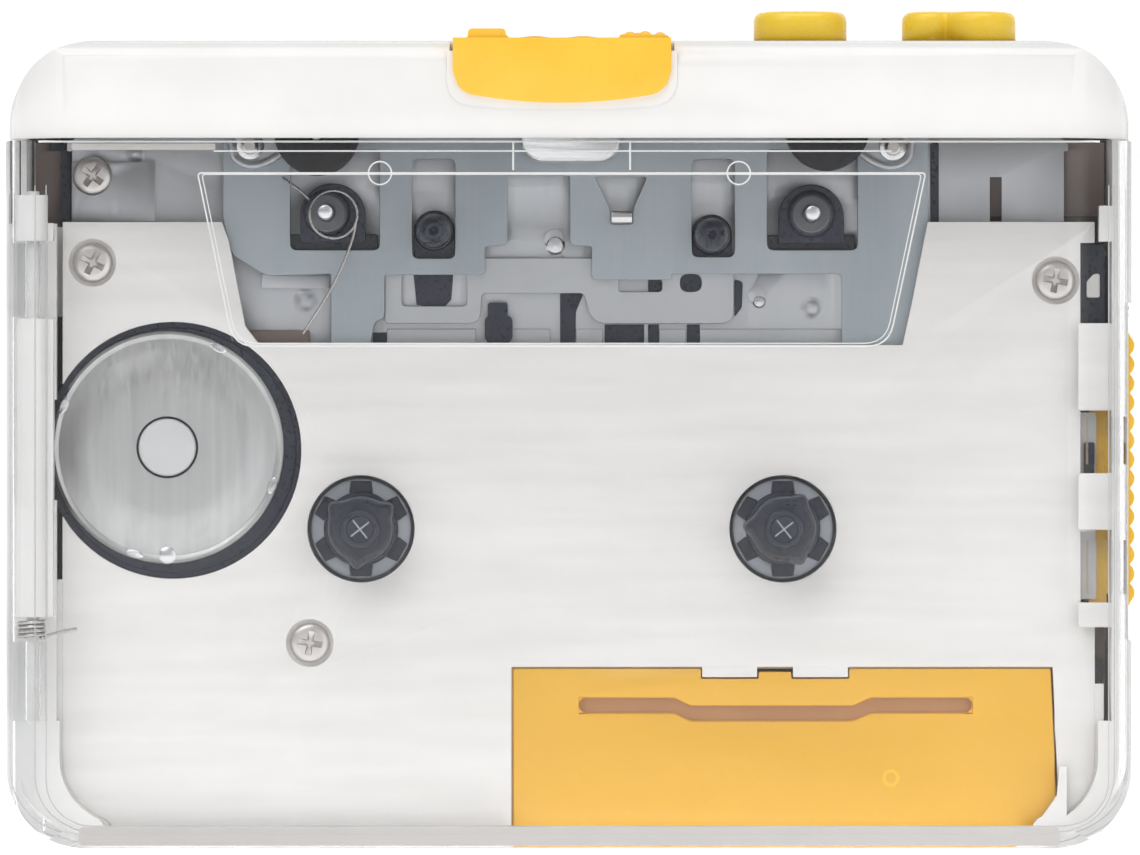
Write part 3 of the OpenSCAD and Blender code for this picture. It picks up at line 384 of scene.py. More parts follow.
def rounded(corners, radius, steps=6):
    """An outline with its corners rounded off. A corner may carry its own radius."""
    outline = []
    count = len(corners)
    for i, corner in enumerate(corners):
        here = Vector(corner[:2])
        size = corner[2] if len(corner) > 2 else radius
        before = Vector(corners[i - 1][:2]) - here
        after = Vector(corners[(i + 1) % count][:2]) - here
        start = here + before.normalized() * min(size, before.length / 2)
        end = here + after.normalized() * min(size, after.length / 2)
        for step in range(steps + 1):
            t = step / steps
            outline.append(start * (1 - t) ** 2 + here * 2 * t * (1 - t) + end * t * t)
    return outline


def box_outline(x, z):
    return [(x[0], z[0]), (x[1], z[0]), (x[1], z[1]), (x[0], z[1])]


def carved(name, body, tool):
    """The body with the tool's shape cut out of it, as points and faces."""
    made = []
    for part, (verts, faces) in (("body", body), ("tool", tool)):
        mesh = bpy.data.meshes.new(name + part)
        mesh.from_pydata([Vector(v) for v in verts], [], faces)
        bm = bmesh.new()
        bm.from_mesh(mesh)
        bmesh.ops.recalc_face_normals(bm, faces=bm.faces)
        bm.to_mesh(mesh)
        bm.free()
        obj = bpy.data.objects.new(name + part, mesh)
        scene.collection.objects.link(obj)
        made.append(obj)
    cut = made[0].modifiers.new("cut", "BOOLEAN")
    cut.object = made[1]
    cut.operation = "DIFFERENCE"
    cut.solver = "EXACT"
    graph = bpy.context.evaluated_depsgraph_get()
    result = made[0].evaluated_get(graph).to_mesh()
    verts = [v.co.copy() for v in result.vertices]
    faces = [tuple(p.vertices) for p in result.polygons]
    for obj in made:
        bpy.data.objects.remove(obj)
    return verts, faces


# ---------------------------------------------------------------- carried-over parts


def soften(obj, width, segments=2):
    weld = obj.modifiers.new("weld", "WELD")
    weld.merge_threshold = 0.000001
    flatten = obj.modifiers.new("flatten", "DECIMATE")
    flatten.decimate_type = "DISSOLVE"
    flatten.angle_limit = math.radians(0.5)
    add_bevel(obj, width, segments, 34)


edge_width = {"seek_rocker": 0.35, "top_cover": 0.2, "mid_case": 0.2, "rear_cover": 0.3, "tape_head": 0.35,
              "bay_panel": 0.18, "battery_cover": 0.18, "headphone_jack": 0.3, "capstan_bushes": 0.25}
slot_of = {part["node"]: part["material_slot"] for part in frame["record"]["subparts"]}
for node, obj in nodes.items():
    obj.data.materials.clear()
    obj.data.materials.append(finish[slot_of[node]])
    obj.data.shade_smooth()
    if node != "door":
        soften(obj, edge_width.get(node, 0.1))


# ---------------------------------------------------------------- door


def door_frame_path(left_inset, right_inset, floor_inset, radius, front):
    """Points down the left side, round both lower corners and up the right side."""
    low, high = (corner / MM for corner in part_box("door"))
    left = low.x + left_inset
    right = high.x - right_inset
    floor = low.z + floor_inset
    top = high.z - 4.5
    y = low.y + front
    path = [(left, y, top), (left, y, (top + floor) / 2)]
    for side, centre, angles in ((-1, left + radius, range(180, 271, 9)), (1, right - radius, range(270, 361, 9))):
        for angle in angles:
            turn = math.radians(angle)
            path.append((centre + radius * math.cos(turn), y, floor + radius + radius * math.sin(turn)))
    return path + [(right, y, (top + floor) / 2), (right, y, top)]


def add_door_edges():
    """Painted highlight lines along the moulded edges of the clear door (the stepped window, its studs and ribs), and
    painted shade lines along the rims of the wall.
    """
    low, high = (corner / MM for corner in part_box("door"))
    y = low.y + 1.25
    top = high.z
    window = [(low.x + 19.4, top - 3.3, 0.4), (high.x - 20.9, top - 3.3, 0.4), (high.x - 24.6, top - 20.6, 2.2),
              (low.x + 23, top - 20.6, 2.2)]
    inner = [(window[0][0] + 0.42, top - 3.42, 0.4), (window[1][0] - 0.42, top - 3.42, 0.4),
             (window[2][0] - 0.3, top - 20.3, 2.2), (window[3][0] + 0.3, top - 20.3, 2.2)]
    lines = []
    for outline, radius in ((window, 0.085), (inner, 0.06)):
        path = rounded(outline, 1)
        lines.append(tube([(x, y, z) for x, z in path + path[:1]], radius, 8))
    for x in (low.x + 37.6, high.x - 39.55):
        circle = ring((x, y, top - 3.3), "Y", 1.15, 0, 40)
        lines.append(tube(circle + circle[:1], 0.08, 8))
    lines.append(tube([(low.x + 21, y, top - 1.1), (high.x - 24.3, y, top - 1.1)], 0.08, 8))
    lines.append(tube([(low.x + 3.5, y, top - 0.15), (high.x - 3.5, y, top - 0.15)], 0.1, 8))
    for x in (low.x + 50.9, high.x - 50.4):
        lines.append(tube([(x, y, top - 3), (x, y, top - 0.2)], 0.1, 8))
    # Near-white tubes painted as the highlights that the clear door's moulded edges catch.
    piece("door_step_highlights", joined(*lines), "door", "clear_door", look=painted_edge_highlight)
    # Mid-grey tubes painted as the shade lines along the rims of the clear door's wall, down to its bottom edge.
    rims = [tube(door_frame_path(*route), 0.06, 8) for route in (
        (4.3, 2.6, 2.35, 4.5, 1.4), (3.2, 2.0, 1.85, 5.5, 2.4), (0.75, 0.9, 1.25, 7.2, 6.2), (0.42, 0.42, 0.45, 7.9, 9.2))]
    piece("door_rim_shade_lines", joined(*rims), "door", "clear_door", look=painted_rim_shade)


# ---------------------------------------------------------------- motor


def add_door_bands():
    """Opaque pale grey bands painted as the shade that the clear door shows where its floor is seen edge on, and at the
    thick end of its top flange.
    """
    low, high = (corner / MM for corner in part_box("door"))
    floor = plate(rounded(box_outline((low.x + 7.5, high.x - 7.5), (low.z + 0.45, low.z + 2.3)), 0.4),
                  (low.y + 2.15, low.y + 2.5))
    flange = plate(rounded(box_outline((low.x + 6.8, low.x + 21.2), (high.z - 1.0, high.z - 0.3)), 0.2),
                   (low.y + 1.3, low.y + 1.8))
    piece("door_edge_on_shade_bands", joined(floor, flange), "door", "clear_door", look=painted_glass_edge_shade, bevel=0.1)


def add_motor():
    mid, half = middle("motor_can")
    front = mid.y - half.y + 0.6
    back = mid.y + half.y
    radius = half.x
    place = (mid.x, 0, mid.z)
    can = lathe(place, "Y", [
        (0.5, front), (3.3, front), (6.6, front), (7.6, front + 0.05), (8.6, front + 0.2), (9.6, front + 0.42),
        (10.4, front + 0.55), (radius - 0.95, front + 0.58), (radius - 0.8, front + 0.46),
        (radius - 0.5, front + 0.4), (radius - 0.2, front + 0.55), (radius, front + 0.95),
        (radius, back - 0.6), (radius - 0.6, back), (2, back)], 128)
    piece("motor_can_turned", can, "case", "motor_steel", replaces=("motor_can",))
    cap = lathe(place, "Y", [
        (0.4, front - 0.6), (2.45, front - 0.6), (2.75, front - 0.5), (2.88, front - 0.3), (2.9, front + 0.1)])
    piece("motor_bearing_cap", cap, "case", "grey_plastic", look=pale_nylon)
    seal = lathe(place, "Y", [
        (2.88, front - 0.05), (3.12, front - 0.05), (3.12, front + 0.1), (2.88, front + 0.1)], closed=True)
    piece("motor_cap_seal", seal, "case", "rubber")
    crimps = []
    for angle in (63, -107, 158, -20):
        turn = math.radians(angle)
        reach = radius - 0.62
        across = Vector((-math.sin(turn), 0, math.cos(turn)))
        out = Vector((math.cos(turn), 0, math.sin(turn)))
        centre = Vector((mid.x, 0, mid.z)) + out * reach
        levels = []
        for y, long, wide in ((front + 0.7, 0.95, 0.5), (front + 0.36, 0.9, 0.42), (front + 0.28, 0.75, 0.3)):
            levels.append([centre + across * long * math.cos(math.tau * k / 20) + out * wide * math.sin(math.tau * k / 20)
                           + Vector((0, y, 0)) for k in range(20)])
        crimps.append(loft(levels))
    stake = lathe((mid.x, 0, mid.z - radius + 1.0), "Y", [
        (0.05, front + 0.22), (0.6, front + 0.24), (0.88, front + 0.4), (0.9, front + 0.8)], 32)
    piece("motor_crimps", joined(*crimps, stake), "case", "motor_steel", look=finish["bright_steel"])
    sleeve = lathe((mid.x + 0.6, 0, mid.z - 0.3), "Y", [
        (radius - 1.4, -2.5), (12.3, -2.55), (12.45, -2.75), (12.95, -2.75), (13.25, -2.5), (13.3, -1.0),
        (radius - 1.4, -1.0)], 128, closed=True)
    piece("motor_sleeve", sleeve, "case", "black_plastic")


# ---------------------------------------------------------------- reels


def add_spindle(side, ears):
    node = "spindle_" + side
    hub, half = middle("reel_" + side)
    low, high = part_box(node)
    tip = low.y / MM
    foot = high.y / MM
    place = (hub.x, 0, hub.z)
    centre = Vector(place)

    def eared(base, reach):
        def radius(turn):
            out = 0.0
            for ear in ears:
                away = math.degrees(abs((turn - math.radians(ear) + math.pi) % math.tau - math.pi))
                out = max(out, math.exp(-(away / 13) ** 2))
            return base + reach * out
        return radius

    levels = [(3.75, foot), (3.75, -4.7), (3.6, -4.95), (eared(3.3, 0.75), -5.0), (eared(3.25, 0.75), -9.1),
              (eared(3.1, 0.6), -9.7), (eared(2.7, 0.4), -10.1), (2.2, -10.15)]
    body = loft([ring(place, "Y", radius, along, 96) for radius, along in levels])
    boss = lathe(place, "Y", [(1.95, -10.05), (1.95, tip + 0.3), (1.8, tip + 0.04), (1.65, tip), (1.4, tip + 0.02),
                              (1.3, tip + 0.22), (0.1, tip + 0.26)])
    piece(node + "_turned", joined(body, boss), "reel_" + side, "black_plastic", replaces=(node,), bevel=0.1)
    ridges = []
    for angle in (38, 128):
        turn = math.radians(angle)
        reach = Vector((math.cos(turn), 0, math.sin(turn))) * 1.15
        ridges.append(tube([centre - reach + Vector((0, tip + 0.16, 0)), centre + reach + Vector((0, tip + 0.16, 0))],
                           0.09, 8))
    piece(node + "_tip_ridges", joined(*ridges), "reel_" + side, "grey_plastic")
    lugs = []
    for step in range(6):
        turn = math.radians(90 + 60 * step)
        out = Vector((math.cos(turn), 0, math.sin(turn)))
        across = Vector((-math.sin(turn), 0, math.cos(turn)))
        flat = [centre + out * 3.6 - across * 1.2, centre + out * 4.8 - across * 1.05,
                centre + out * 4.8 + across * 1.05, centre + out * 3.6 + across * 1.2]
        lugs.append(loft([[p + Vector((0, y, 0)) for p in flat] for y in (-2.4, -3.75)]))
    piece("reel_lugs_" + side, joined(*lugs), "reel_" + side, "black_plastic", bevel=0.12)
    collar = lathe(place, "Y", [(3.7, -3.5), (4.7, -3.55), (5.0, -3.4), (5.12, -3.05), (5.12, -2.4), (3.7, -2.4)],
                   96, closed=True)
    piece("reel_collar_" + side, collar, "reel_" + side, "grey_plastic")


# ---------------------------------------------------------------- tape drive details


def add_capstans():
    """Ground shafts with a rounded tip."""
    for side in ("left", "right"):
        mid, half = middle("capstan_" + side)
        tip = mid.y - half.y
        shaft = lathe((mid.x, 0, mid.z), "Y", [
            (0.05, tip), (0.5, tip), (0.68, tip + 0.08), (0.78, tip + 0.3), (0.8, mid.y + half.y)], 48)
        piece("capstan_shaft_" + side, shaft, "capstan_" + side, "bright_steel", replaces=("capstan_" + side,))


def add_capstan_bushes():
    """A moulded arch round each capstan, with a wide foot, an oil washer and a fine groove."""
    for side, shift in (("left", 0.6), ("right", 0.0)):
        mid, half = middle("capstan_" + side)
        x = mid.x
        z = mid.z
        centre = x + shift
        radius = 3.3
        arch = [(centre + radius * math.cos(math.radians(a)), z - 0.3 + radius * math.sin(math.radians(a)))
                for a in range(0, 181, 9)]
        arch += [(centre - radius, z - 2.9), (centre + radius, z - 2.9)]
        bore = lathe((x, 0, z), "Y", [(1.3, -6), (1.3, 4)], 48)
        body = carved("bush_" + side, plate(arch, (-2.0, -4.2)), bore)
        foot = plate(rounded(box_outline((centre - 4.5, centre + 4.5), (z - 3.95, z - 2.1)), 0.3), (-0.95, -1.84))
        collar = lathe((x, 0, z), "Y", [(1.25, -5.0), (2.1, -4.9), (2.35, -4.6), (2.45, -4.1), (1.25, -4.1)], closed=True)
        rear = lathe((x, 0, z), "Y", [(1.25, -2.1), (2.6, -2.1), (2.6, 3.2), (2.3, 3.5), (1.25, 3.5)], closed=True)
        piece("bush_arch_" + side, joined(body, foot, collar, rear), "case", "black_plastic",
              replaces=("capstan_bushes",) if side == "left" else (), bevel=0.14)
        washer = lathe((x, 0, z), "Y", [(0.86, -5.1), (1.0, -5.2), (1.75, -5.2), (1.9, -5.1), (1.9, -4.95), (0.86, -4.95)],
                       closed=True)
        piece("oil_washer_" + side, washer, "case", "grey_plastic", look=dark_glaze)


def add_pinch_spring():
    mid, half = middle("capstan_left")
    x = mid.x + 0.7
    z = mid.z - 0.15
    turns = coil((x, 0, z), "Y", 2.4, 2.6, -4.7, -5.2, math.radians(150))
    lead = curve((x - 5.2, -3.6, z + 3.7), (x - 3.6, -4.4, z + 2.6), turns[0])
    tail = curve(turns[-1], (x + 1.75, -5.0, z - 2.9), (x - 0.1, -4.8, z - 7.2), (x - 3.1, -4.4, z - 12))
    wire = tube(lead[:-1] + turns + tail[1:], 0.14)
    piece("pinch_spring_wire", wire, "case", "spring_wire", replaces=("pinch_spring",))


def add_guide_posts():
    shapes = []
    for low, high in solids("guide_posts"):
        x = (low.x + high.x) / 2
        z = (low.z + high.z) / 2
        tip = low.y
        shapes.append(lathe((x, 0, z), "Y", [
            (0.15, tip + 0.5), (0.4, tip + 0.12), (0.6, tip), (0.85, tip + 0.15), (1.25, tip + 1.1),
            (1.55, tip + 2.4), (1.7, tip + 4), (1.74, high.y)], 48))
        shapes.append(lathe((x, 0, z + 0.05), "Y", [(1.7, -2.3), (1.9, -2.25), (2.05, -2.0), (2.05, -0.95)], 48))
        shapes.append(plate(rounded(box_outline((x - 2.05, x + 2.05), (z - 2.85, z + 0.3)), 0.5), (-0.92, -1.8)))
    piece("guide_post_cones", joined(*shapes), "case", "black_plastic", replaces=("guide_posts",), bevel=0.06)


def add_head_plate():
    """The zinc plate that carries the tape head, stamped with rounded corners and windows."""
    low, high = (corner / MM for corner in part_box("head_plate"))
    front = high.y - 0.8
    outline = rounded([
        (low.x, high.z, 0.1), (low.x, low.z + 14.4), (low.x + 0.9, low.z + 10.9), (low.x + 4.4, low.z + 8.8),
        (low.x + 10.9, low.z + 9, 0.2), (low.x + 10.9, low.z, 0.1), (low.x + 14.5, low.z, 0.1),
        (low.x + 15.3, low.z + 4.2), (low.x + 16.3, low.z + 4.5), (low.x + 16.3, low.z + 8.9, 0.3),
        (low.x + 26.4, low.z + 8.9), (low.x + 26.4, low.z + 11.8, 0.3), (low.x + 28.7, low.z + 11.9),
        (low.x + 28.7, low.z + 18.9, 0.3), (low.x + 35, low.z + 18.9, 0.3), (low.x + 35, low.z + 11.9),
        (low.x + 37.2, low.z + 11.8, 0.3), (low.x + 37.2, low.z + 8.4), (low.x + 45.2, low.z + 8.4, 0.2),
        (low.x + 45.2, low.z + 9, 0.2), (high.x - 8.7, low.z + 9), (high.x - 8.7, low.z, 0.1), (high.x, low.z, 0.1),
        (high.x, high.z, 0.1)], 0.6)
    holes = []
    for x, z in (((6.8, 15.8), (11.4, 21.6)), ((19.1, 23.4), (10.55, 20.6)), ((47.3, 51.6), (10.7, 20.6)),
                 ((54.9, 64), (11.4, 21.6)), ((1.7, 3.9), (20.7, 25.5)), ((66.4, 68.6), (20.7, 25.5))):
        holes.append(plate(rounded(box_outline([low.x + a for a in x], [low.z + a for a in z]), 0.7),
                           (front - 1, front + 2)))
    notch = [(low.x + a, low.z + b) for a, b in ((37.5, 18.8), (42.8, 18.8), (41.35, 15.5), (41.35, 14), (39.1, 14),
                                                 (39.1, 15.5))]
    holes.append(plate(rounded(notch, 0.4), (front - 1, front + 2)))
    sheet = carved("head_plate_", plate(outline, (front, high.y)), joined(*holes))
    bracket = plate(rounded(box_outline((low.x + 30.5, low.x + 39.7), (high.z - 4.8, high.z - 0.6)), 0.4),
                    (low.y, front + 0.1))
    piece("head_plate_stamped", joined(sheet, bracket), "head_carriage", "zinc_steel", replaces=("head_plate",),
          bevel=0.12)


def add_lever():
    """The pale sliding lever with its windows, drawn round the middle of its box."""
    mid, half = middle("reverse_lever")
    low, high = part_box("reverse_lever")
    front = low.y / MM
    back = high.y / MM
    left = mid.x - half.x
    right = mid.x + half.x
    floor = mid.z - half.z
    top = mid.z + half.z
    outline = rounded([
        (left, top, 0.1), (left, floor, 0.5), (left + 9.6, floor, 1.1), (left + 9.8, floor + 3.05, 0.5),
        (right - 15.1, floor + 3.05, 0.5), (right - 14.3, floor, 1.5), (right, floor, 1.3), (right, top, 0.1)], 0.5)
    windows = [((left + 1.7, left + 8.3), (floor + 1.75, floor + 4.95), 0.5),
               ((right - 11.6, right - 7.2), (floor + 3.2, floor + 4.5), 0.4),
               ((right - 5.4, right - 3.2), (floor + 3.2, floor + 5), 0.9)]
    tool = joined(*[plate(rounded(box_outline(x, z), r), (front - 1, back + 1)) for x, z, r in windows])
    body = carved("lever_", plate(outline, (front, back)), tool)
    piece("reverse_lever_stamped", body, "reverse_lever", "plate_steel", replaces=("reverse_lever",), bevel=0.12)
    piece("lever_stops", joined(
        plate(rounded(box_outline((left + 10.4, left + 12.4), (floor - 0.2, floor + 2.1)), 0.3), (front - 0.08, front + 0.4)),
        plate(rounded(box_outline((left + 10.1, left + 12.9), (floor - 1.9, floor + 0.8)), 0.7), (front - 0.1, front + 0.35))),
        "reverse_lever", "black_plastic", replaces=("lever_blocks",), bevel=0.06)


def add_plate_slots():
    """Black pieces in the openings of the base plate, flush with it or just in front: painted shade for the slots, and
    the dark leaf switch.
    """
    mid, half = middle("reverse_lever")
    low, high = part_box("base_plate")
    skin = low.y / MM
    face = -0.9
    left = mid.x - half.x
    right = mid.x + half.x
    floor = mid.z - half.z
    deep = (face - 0.14, face + 0.3)
    dark = [plate([(left + 2.9, floor + 4.9), (left + 3.2, floor + 1.9), (left + 4.0, floor + 1.75),
                   (left + 6.1, floor + 1.75), (left + 6.7, floor + 2.4), (left + 6.9, floor + 4.9)], deep),
            plate(rounded([(left + 17.7, floor + 3.1), (left + 20.1, floor + 3.1), (left + 19.3, floor + 1.2),
                           (left + 19.25, floor - 2.2), (left + 17.7, floor - 2.2)], 0.2), deep),
            plate(box_outline((left + 10.3, left + 12.9), (floor - 2.2, floor - 0.2)), deep),
            plate(box_outline((left - 1.2, left + 0.35), (floor - 2.2, floor - 0.9)), deep),
            plate(box_outline((left + 22.2, left + 26.2), (floor - 2.2, floor - 0.1)), deep),
            plate(box_outline((left + 26.6, left + 27.7), (floor - 2.2, floor - 0.1)), deep),
            plate(box_outline((left + 30.5, left + 31.8), (floor - 2.2, floor - 0.1)), deep),
            plate(rounded(box_outline((right - 8.6, right - 6.9), (floor + 3.1, floor + 4.6)), 0.2), deep),
            plate(rounded(box_outline((right - 5.6, right - 3), (floor + 3.1, floor + 5.2)), 0.2), deep),
            plate(rounded([(right + 0.1, floor + 0.6), (right + 0.85, floor + 1.6), (right + 0.95, floor + 4.2),
                           (right + 0.1, floor + 4.5)], 0.3), deep),
            plate(rounded(box_outline((-21.6, -19.9), (floor + 12.6, floor + 18.4)), 0.3), deep),
            plate(rounded(box_outline((36.5, 37.35), (62.3, 70.9)), 0.3), deep)]
    # Black sheets painted as the shade in the slots of the base plate; they also stand in for the leaf switch.
    piece("plate_slot_shades", joined(*dark[:10], dark[11]), "case", "black_plastic", replaces=("leaf_switch",), bevel=0.05)


def add_plate_details():
    """Dimples, rivets, a bent tab and a folded ledge that show through the gaps of the head plate."""
    mid, half = middle("base_plate")
    shapes = []
    for right, up, r in ((-26.8, 9.6, 1.25), (24.3, 8.9, 1.15), (-44.0, 24.6, 0.95)):
        shapes.append(lathe((mid.x + right, 0, mid.z + up), "Y", [
            (0.06, -1.4), (r * 0.3, -1.34), (r * 0.6, -1.15), (r * 0.85, -0.96), (r * 1.1, -0.9), (r * 1.1, -0.7)], 40))
    ledge = []
    for x in ((-18.4, -9.4), (-6, -1.9), (0.7, 3.4), (9.1, 11.8), (13.2, 33.2)):
        ledge.append(plate(box_outline(x, (mid.z + 4.6, mid.z + 6.85)), (-0.92, -1.15)))
    ledge.append(plate(rounded(box_outline((-28.0, -20.8), (mid.z + 12.5, mid.z + 14.0)), 0.5), (-0.92, -1.12)))
    piece("plate_pressings", joined(*shapes, *ledge), "case", "plate_steel", bevel=0.08)
    rivets = []
    for right, up, r in ((-1.6, 15.3, 1.0), (19.0, 9.6, 0.66)):
        rivets.append(lathe((mid.x + right, 0, mid.z + up), "Y", [
            (0.06, -1.55), (r * 0.75, -1.5), (r, -1.3), (r, -0.8)], 32))
    piece("plate_rivets", joined(*rivets), "case", "bright_steel")
    arc = []
    for angle in range(-90, 91, 15):
        turn = math.radians(angle)
        arc.append((-4.45 - 0.4 * math.cos(turn), 63.3 + 0.62 * math.sin(turn)))
    piece("bent_tab", loft([[Vector((x, y, z)) for y, z in arc] for x in (4.3, 6.35)]), "head_carriage", "bright_steel")
    piece("board_strip", plate(box_outline((-32.2, -26.2), (49.9, 51.9)), (-1.0, -1.3)), "case", "board", bevel=0.08)


def add_arm_details():
    """Pivot pins with bright ends, and the curled edge of each roller bracket."""
    for (low, high), side, sign in zip(solids("arm_pivots"), ("left", "right"), (1, -1)):
        px = (low.x + high.x) / 2
        pz = (low.z + high.z) / 2
        roller, half = middle("pinch_roller_" + side)
        rim = curve((px - sign * 1.9, -5.6, pz + 0.6), (px - sign * 1.5, -5.7, pz - 1.2), (px, -5.8, pz - 1.95),
                    (px + sign * 1.7, -5.8, pz - 1.6), (px + sign * 3.2, -5.7, pz - 0.6),
                    (px + sign * 4.6, -5.4, pz + 0.9), (px + sign * 5.4, -5.2, pz + 2.2))
        curl = tube(rim, 0.38, 12)
        web = plate([(px - sign * 1.7, pz + 0.9), (px - sign * 1.4, pz - 1.1), (px, pz - 1.8),
                     (px + sign * 1.7, pz - 1.5), (px + sign * 3.2, pz - 0.5), (px + sign * 4.8, pz + 1.2),
                     (px + sign * 3.4, pz + 2.2), (px + sign * 1.2, pz + 1.9)], (-5.4, -5.15))
        piece("arm_bracket_" + side, joined(curl, web), "pinch_arm_" + side, "zinc_steel",
              look=finish["plate_steel"], bevel=0.05)
        pin = lathe((px, 0, pz), "Y", [(0.1, -6.75), (0.55, -6.75), (0.75, -6.6), (0.78, -6.2), (0.78, -5.4)], 32)
        piece("arm_pin_" + side, pin, "case", "bright_steel", look=finish["screw_steel"])
        axle = lathe((roller.x, 0, roller.z), "Y", [(0.1, -13.1), (0.5, -13.1), (0.66, -12.95), (0.66, -12.4)], 32)
        piece("roller_axle_end_" + side, axle, "pinch_arm_" + side, "bright_steel")


# ---------------------------------------------------------------- screws


def cross(half_long, half_wide, place, along, lean):
    """A plus-shaped ring of points round a place, for a screw recess."""
    x, z = place
    a, b = half_long, half_wide
    outline = [(a, -b), (a, b), (b, b), (b, a), (-b, a), (-b, b), (-a, b), (-a, -b), (-b, -b), (-b, -a), (b, -a), (b, -b)]
    return [Vector((x + u * math.cos(lean) - v * math.sin(lean), along, z + u * math.sin(lean) + v * math.cos(lean)))
            for u, v in outline]


def screw_head(name, place, radius, top, away, lean):
    """A pan head with a tapered cross recess. away is the direction that the head faces along Y."""
    x, z = place
    profile = [(0.05, 0), (0.6, 0.01), (0.78, 0.05), (0.9, 0.16), (0.97, 0.32), (1.0, 0.5), (1.0, 0.95)]
    head = lathe((x, 0, z), "Y", [(radius * r, top - away * depth) for r, depth in profile], 48)
    tool = loft([cross(1.3, 0.36, place, top + away * 0.2, lean), cross(1.2, 0.3, place, top - away * 0.12, lean),
                 cross(0.45, 0.16, place, top - away * 0.7, lean)])
    return carved(name, head, tool)


def add_screws(node, away):
    random.seed(5)
    shapes = []
    for i, (low, high) in enumerate(solids(node)):
        place = ((low.x + high.x) / 2, (low.z + high.z) / 2)
        radius = (high.x - low.x) / 2
        top = low.y if away < 0 else high.y
        tip = high.y if away < 0 else low.y
        shapes.append(screw_head("%s_%d_" % (node, i), place, radius, top, away, random.uniform(0, 1.5)))
        neck = top - away * 0.9
        shapes.append(lathe((place[0], 0, place[1]), "Y", [(0.85, neck), (0.85, tip + away * 0.6), (0.3, tip)], 24))
    piece(node + "_cut", joined(*shapes), "case", "screw_steel", replaces=(node,), bevel=0.03)


# ---------------------------------------------------------------- springs


def add_springs():
    pin, half = middle("hinge_pin")
    mid, half = middle("hinge_spring")
    turns = coil((pin.x, pin.y, 0), "Z", 1.05, 4.0, mid.z - 0.85, mid.z + 0.85, math.radians(20))
    leg = curve(turns[0], (pin.x + 1.3, pin.y + 0.5, mid.z - 0.65), (pin.x + 2.7, pin.y + 0.9, mid.z - 0.25),
                (pin.x + 4.2, pin.y + 1.2, mid.z + 0.05))
    piece("hinge_spring_wire", joined(tube(turns, 0.2), tube(leg, 0.17)), "case", "spring_wire",
          replaces=("hinge_spring",))
    for name in ("stop_key", "play_key"):
        mid, half = middle(name + "_spring")
        turns = coil((mid.x, mid.y, 0), "Z", 2.35, 4.5, mid.z - half.z + 0.25, mid.z + half.z - 0.25)
        piece(name + "_spring_wire", tube(turns, 0.22), name, "spring_wire", replaces=(name + "_spring",))
    mid, half = middle("latch_spring")
    turns = coil((mid.x, mid.y, 0), "Z", 0.68, 7, mid.z - half.z + 0.2, mid.z + half.z - 0.2)
    piece("latch_spring_wire", tube(turns, 0.18, 8), "case", "spring_wire", replaces=("latch_spring",))
    mid, half = middle("battery_spring")
    turns = coil((0, mid.y, mid.z), "X", 3.0, 4, mid.x - half.x + 0.3, mid.x + half.x - 0.3)
    piece("battery_spring_wire", tube(turns, 0.3), "case", "spring_wire", replaces=("battery_spring",))


def add_bay_backing():
    """Thin white lips behind the joint between the bay panel and the case, brown strips of painted shade in and behind
    the battery cover's edge gap, and two tabs of the panel.
    """
    low, high = (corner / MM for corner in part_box("bay_panel"))
    cover_low, cover_high = (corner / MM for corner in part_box("battery_cover"))
    radius = 6.5
    depth = (high.y + 0.02, high.y + 0.17)
    flush = (low.y + 0.06, low.y + 0.3)
    lips = []
    for side, start in ((-1, 180), (1, 360)):
        centre = (low.x if side < 0 else high.x) - side * radius
        turn_x = [math.radians(start - side * a) for a in range(0, 91, 6)]
        outer = [(centre + 7.4 * math.cos(t), low.z + radius + 7.4 * math.sin(t)) for t in turn_x]
        inner = [(centre + 5.6 * math.cos(t), low.z + radius + 5.6 * math.sin(t)) for t in reversed(turn_x)]
        top = high.z - 36 if side < 0 else low.z + 14
        outline = [(outer[0][0], top)] + outer + inner + [(inner[-1][0], top)]
        lips.append(plate([p for p in outline if p[1] > low.z - 0.4], flush))
    lips.append(plate(box_outline((low.x - 1.5, low.x + 0.9), (high.z - 9.5, high.z - 0.5)), depth))
    piece("bay_edge_lips", joined(*lips), "case", "bay_white")
    seam = (low.y + 0.25, low.y + 0.5)
    top = cover_high.z
    edge = [plate(box_outline((cover_low.x - 0.3, cover_high.x - 0.4), (top + 0.02, top + 0.32)), seam),
            plate(box_outline((cover_low.x - 0.32, cover_low.x - 0.02), (low.z, top)), seam),
            plate(box_outline((cover_high.x - 0.8, cover_high.x + 0.7), (cover_low.z + 4, top)), depth)]
    # Brown strips painted as the shade in the gap round the battery cover, where the yellow is in shadow.
    piece("cover_gap_shade_strips", joined(*edge), "case", "board", look=painted_cover_gap_shade)
    tabs = [plate(rounded(box_outline((cover_low.x + a, cover_low.x + b), (top - 0.85, top + 0.4)), 0.1),
                  (low.y + 0.06, high.y)) for a, b in ((19, 24.55), (28.15, 33.7))]
    piece("panel_tabs", joined(*tabs), "case", "bay_white", bevel=0.1)


